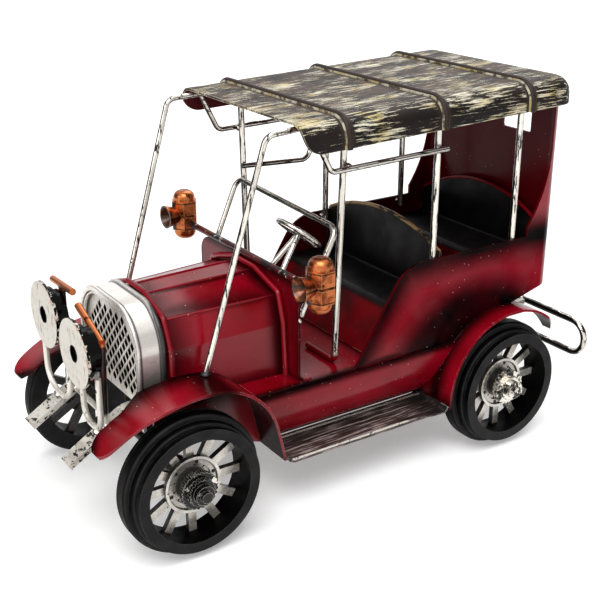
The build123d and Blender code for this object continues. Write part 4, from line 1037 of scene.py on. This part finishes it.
weld_spots = (
    # the wire loops and the crossbar, on the frame horns
    *both((113.0, 20.4, 48.4), (2.0, 2.6, 1.5)),
    ((104.6, -20.4, 53.4), (2.0, 2.4, 1.5)),
    *both((106.0, 16.0, 50.5), (1.7, 1.2, 1.7)),
    # the legs of the head lamps
    ((109.8, 21.8, 50.6), (2.4, 2.4, 1.5)), ((108.2, -19.0, 51.5), (2.4, 2.4, 1.5)),
    # roof posts inside the tub's edge
    *both((-44.5, 43.4, 97.4), (2.4, 1.0, 1.6)),
    *both((-93.5, 43.4, 97.4), (2.4, 1.0, 1.6)),
    # side rails at the posts
    *both((-44.5, 44.3, 149.6), (1.9, 1.5, 1.7)),
    *both((5.2, 43.5, 148.9), (1.8, 2.2, 1.7)),
    # the windshield's feet, and two bright drops on the dash's left edge
    *both((26.3, 40.0, 88.0), (1.0, 1.7, 2.0)),
    ((27.6, 42.1, 84.8), (0.8, 0.7, 1.0)), ((26.8, 42.1, 87.2), (0.6, 0.6, 0.7)),
    # the bumper behind the frame
    *both((-125.2, 20.4, 54.4), (1.4, 3.2, 1.8)),
)
weld_centres, weld_sizes = zip(*weld_spots)
skin("weld_drops", drops(weld_centres, weld_sizes), "root", wire_across)
strut_feet = drops([(69.2, 34.5, 68.2), (75.5, -35.5, 68.2)], [(2.6, 2.4, 1.4)] * 2)
skin("strut_feet", strut_feet, "root", nodes["front_axle"].active_material)

# %% [markdown]
# The hood is folded from one sheet, and real ones are hinged. Thin wires soldered along the folds
# stand for the hinges. Each is a circle carried along a straight line from the dash to the
# radiator, sunk to its middle in the fold, and painted with the hood.

# %% Hood hinges
def rod(path, radius, flat, around=12):
    """A circle carried along a path that lies in a plane: flat is the plane's normal.

    The ring's axes are the path's direction crossed with the normal, and the one square to both.
    """
    ahead = np.gradient(path, axis=0)
    ahead /= np.linalg.norm(ahead, axis=1, keepdims=True)
    across = np.cross(ahead, flat)
    across /= np.linalg.norm(across, axis=1, keepdims=True)
    over = np.cross(ahead, across)
    cosine, sine = turn_of(around)
    return path[:, None] + radius * (cosine * across[:, None] + sine * over[:, None])


rod_steps = 24
hinge_ends = (
    # front end, rear end, wire radius
    ((82.4, 6.43, 97.65), (31.0, 7.36, 98.2), 0.55),
    ((82.4, 23.55, 91.45), (31.0, 26.5, 92.35), 0.45),
)
hinges = np.array([
    rod(np.linspace(front, rear, rod_steps) * (1, hand, 1), radius, along_z)
    for front, rear, radius in hinge_ends for hand in sides.values()
])
skin("hood_hinges", hinges, "root", red_paint("hinge red", [(along_x, 31.0, 8.0, 0.8)]))

# %% [markdown]
# The sills are pushed up against the floor and black paint closes the seam. Without it daylight
# would show through the hair's breadth between the sheets. It is a thin thread along each seam.

# %% Paint in the sill seams
low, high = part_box("sill_left")
seam_y, seam_z, seam_inset, thread_radius = 45.1, 55.3, 0.6, 0.4
rear_end = (low.x * 1000 + seam_inset, seam_y, seam_z)
front_end = (high.x * 1000 - seam_inset, seam_y, seam_z)
seam_path = np.linspace(rear_end, front_end, rod_steps)
threads = np.array([
    rod(seam_path * (1, hand, 1), thread_radius, along_z, 8) for hand in sides.values()
])
seam_finish = red_paint("seam black", [(along_z, seam_z, 9.0, 1.0)])
skin("sill_seams", threads, "root", seam_finish)

# %% [markdown]
# A thin bright wire lies inside the radiator shell, in front of the grille. It is bent over a
# former: two straight legs and a flat top joined by quarter circles, as one path.

# %% Grille wire
def arch_path(half, low, high, bend, steps=14):
    """Points of an arch across the car, from the right foot over the top to the left foot."""
    quarter = np.linspace(0, np.pi / 2, steps)
    corner_y = half - bend + bend * np.cos(quarter)
    corner_z = high - bend + bend * np.sin(quarter)
    y = np.concatenate([[-half], -corner_y, corner_y[::-1], [half]])
    z = np.concatenate([[low], corner_z, corner_z[::-1], [low]])
    return y, z


wire_x, wire_radius = 95.7, 0.8
arch_y, arch_z = arch_path(half=25.9, low=56.4, high=94.9, bend=15.5)
grille_wire = np.stack([np.full_like(arch_y, wire_x), arch_y, arch_z], axis=-1)
wire_rings = rod(grille_wire, wire_radius, along_x)[None]
skin("grille_wire", wire_rings, "root", nodes["radiator_shell"].active_material)

# %% [markdown]
# The seat backs are cut to an arch and their edge is rolled. The roll is a circle carried along
# the arch, which leans with the back: the height follows a circle across the car, and the place
# along the car follows the lean.

# %% Rolled edges of the seat backs
def back_roll(crown_z, shoulder_z, foot, top, radius=0.95, half=42.6, reach=44.7):
    """Rod along a seat back's arch: foot and top are (x, z) of the sheet's middle line."""
    rise = crown_z - shoulder_z
    arch_r = (reach ** 2 + rise ** 2) / (2 * rise)
    y = np.linspace(-half, half, 60)
    z = crown_z - arch_r + np.sqrt(arch_r ** 2 - y ** 2)
    x = foot[0] + (top[0] - foot[0]) * (z - foot[1]) / (top[1] - foot[1])
    lean = np.array([top[1] - foot[1], 0, foot[0] - top[0]])
    return rod(np.stack([x, y, z], axis=-1), radius, lean / np.linalg.norm(lean))[None]


front_roll = back_roll(111.0, 100.4, (-46.9, 79.5), (-48.9, 114.0))
rear_roll = back_roll(115.0, 101.3, (-109.9, 88.3), (-112.9, 118.0))
bench = Bench("rubbed brass roll")
rubbed = bench.noise(0.3, 4.0, 0.65, (1, 0.4, 1))
colour = bench.mix(bench.band(rubbed, 0.42, 0.55), seat_black, brass_rub)
brass_roll = bench.finish_with(colour, 0.4, rubbed, 0.04, 0.4)
red_roll = red_paint("seat roll red", [(along_x, -112.0, 3.0, 0.35)])
skin("front_seat_roll", front_roll, "root", brass_roll)
skin("rear_seat_roll", rear_roll, "root", red_roll)

# %% [markdown]
# Below the tub the rear fender's sheet runs on inwards to the end of the sill, and at its foot it
# is bent forward and lies on the running board. Both are flat strips bent in one direction, so one
# recipe makes them: a flat ring, as wide as the strip, carried along the bend. Their bends are parts
# of circles, each known by three points.

# %% Flat strips and circles
def strip(path_x, path_z, inner, outer, hand, thick):
    """A flat section carried along a path seen from the side: its width is from inner to outer.

    The ring's axes are across the car and square to the path. Its eight points are the corners of
    the section and the middles of its sides.
    """
    ahead = np.stack([np.gradient(path_x), 0 * path_x, np.gradient(path_z)], axis=-1)
    ahead /= np.linalg.norm(ahead, axis=1, keepdims=True)
    square_to = np.stack([-ahead[:, 2], 0 * path_x, ahead[:, 0]], axis=-1)
    wide = np.array([1, 1, 1, 0, -1, -1, -1, 0])[:, None]
    deep = np.array([-1, 0, 1, 1, 1, 0, -1, -1])[:, None]
    middle = np.stack([path_x, hand * (inner + outer) / 2, path_z], axis=-1)
    half = ((outer - inner) / 2)[:, None, None]
    across = half * wide * np.array([0, 1, 0])
    through = np.reshape(thick, (-1, 1, 1)) / 2 * deep * square_to[:, None]
    return (middle[:, None] + across + through)[None]


def circle_through(first, middle, last):
    """Centre and radius of the circle through three points: where the chords' halving lines meet."""
    first, middle, last = (np.asarray(point, float) for point in (first, middle, last))
    chords = 2 * np.array([middle - first, last - first])
    centre = np.linalg.solve(chords, [middle @ middle - first @ first, last @ last - first @ first])
    return centre, np.linalg.norm(first - centre)


print("strips ready")

# %% [markdown]
# The skirt follows the fender's own rim: three points of it lie at known angles round the axle and
# clearances outside the tyre. Its inner edge follows the bulge of the sill, a little inside it, so
# that no light comes through.

# %% Skirts of the rear fenders
def rim_point(angle, clearance):
    """A point of the rear fender's rim: an angle round the axle and a clearance outside the tyre."""
    axle_x, axle_z = axle_of["rear"]
    tyre_r = axle_z
    reach, turn = tyre_r + clearance, math.radians(angle)
    return axle_x + reach * math.cos(turn), axle_z + reach * math.sin(turn)


fender_inner_y, skirt_rows, sheet_thick = 45.15, 40, 1.2
rim_centre, rim_radius = circle_through(
    rim_point(-7.5, 2.9), rim_point(45.0, 2.9), rim_point(93.0, 5.7)
)
sill_centre, sill_radius = circle_through((46.4, 55.5), (43.4, 40.0), (31.0, 26.6))
skirt_low_z, skirt_high_z, sill_tuck, least_width = 26.6, 54.8, 1.3, 0.5
skirt_z = np.linspace(skirt_low_z, skirt_high_z, skirt_rows)
skirt_radius = rim_radius + sheet_thick / 2
skirt_x = rim_centre[0] + np.sqrt(skirt_radius ** 2 - (skirt_z - rim_centre[1]) ** 2)
sill_edge = sill_centre[0] + np.sqrt(sill_radius ** 2 - (skirt_z - sill_centre[1]) ** 2)
skirt_inner = np.minimum(sill_edge - sill_tuck, fender_inner_y - least_width)
skirt_outer = np.full(skirt_rows, fender_inner_y)
for side, hand in sides.items():
    skirt = strip(skirt_x, skirt_z, skirt_inner, skirt_outer, hand, sheet_thick)
    skirt_mist = [(along_y, 45.0 * hand, 9.0, 1.0), (along_z, 26.5, 12.0, 0.9)]
    skirt_finish = red_paint(f"skirt red {side}", skirt_mist)
    skin(f"fender_skirt_{side}", skirt, "root", skirt_finish)

# %% [markdown]
# The foot leaves the fender's face, turns a quarter circle and runs forward on the board, where it
# is hammered thin and narrows to the board's edge. Its paint is black round the bend and turns to
# the board's strokes further forward, with the outer edge worn bright.

# %% Feet of the rear fenders
fender_outer_y, board_outer_y, board_inner_y = 55.5, 52.0, 31.2
bend_r, foot_reach, foot_mid_z, foot_sink = 2.6, 22.0, 26.0, 0.25
bend_thick, tip_thick, edge_gap = 0.7, 0.4, 0.3
curl = np.linspace(0, np.pi / 2, 16)
curl_top_z = foot_mid_z + bend_r - rim_centre[1]
face_x = rim_centre[0] + math.sqrt((rim_radius + 1.1) ** 2 - curl_top_z ** 2)
curl_x = face_x + bend_r * (1 - np.cos(curl))
curl_z = foot_mid_z + bend_r * (1 - np.sin(curl))
on_board = np.linspace(0, 1, 20)[1:]
foot_x = np.concatenate([curl_x, curl_x[-1] + foot_reach * on_board])
foot_z = np.concatenate([curl_z, foot_mid_z - foot_sink * on_board])
spread = np.concatenate([0 * curl, on_board])
narrowing = fender_outer_y - board_outer_y + edge_gap
foot_outer = fender_outer_y - narrowing * spread ** 2 * (3 - 2 * spread)
foot_inner = np.full(len(foot_x), board_inner_y)
foot_thick = bend_thick + (tip_thick - bend_thick) * spread

bench = Bench("fender foot black")
strokes, colour = brushed_board(bench)
near_bend = bench.band(bench.plus(bench.x, bench.times(strokes, 14.0)), -20.0, -36.0)
colour = bench.mix(bench.times(near_bend, 0.92), colour, tint(0.055, 0.04, 0.04))
off_middle = bench.math("ABSOLUTE", bench.y)
broken = bench.band(bench.noise(0.25, 4.0), 0.42, 0.52)
outer_edge = bench.times(bench.edges(0.35), bench.band(off_middle, 50.0, 51.0), broken)
colour = bench.mix(outer_edge, colour, silver)
foot_finish = bench.finish_with(colour, bench.band(strokes, 0.3, 0.7, 0.42, 0.6), strokes, 0.1, 0.15)
for side, hand in sides.items():
    foot = strip(foot_x, foot_z, foot_inner, foot_outer, hand, foot_thick)
    skin(f"fender_foot_{side}", foot, "root", foot_finish)

# %% [markdown]
# Two last fittings: the steering wheel's round boss, and the dash's folded feet on the floor. A
# foot is a flat stack of rings whose outline is a squared oval, cosine and sine raised to a power.

# %% Steering boss and dash feet
boss_axis = np.array([-0.633, 0, 0.774])
boss_seat = np.array([[12.0, 18.0, 114.5]]) + 0.7 * boss_axis
boss = domes(boss_seat, boss_axis, radius=2.7, height=1.3)
skin("steering_boss", boss, "root", wire_across)

oval_points, oval_power = 40, 0.4
oval = np.concatenate(turn_of(oval_points), axis=1)
oval = np.sign(oval) * np.abs(oval) ** oval_power
foot_middle, foot_half = np.array([24.4, 37.2]), np.array([2.5, 7.0])
foot_rings = ((57.02, 1.0), (57.9, 1.0), (58.2, 0.95))
feet = np.array([
    [np.column_stack([foot_middle * (1, hand) + foot_half * oval * scale, np.full(oval_points, z)])
     for z, scale in foot_rings]
    for hand in sides.values()
])
skin("dash_feet", feet, "root", red_paint("foot red", [(along_x, 27.0, 2.5, 0.8)]))
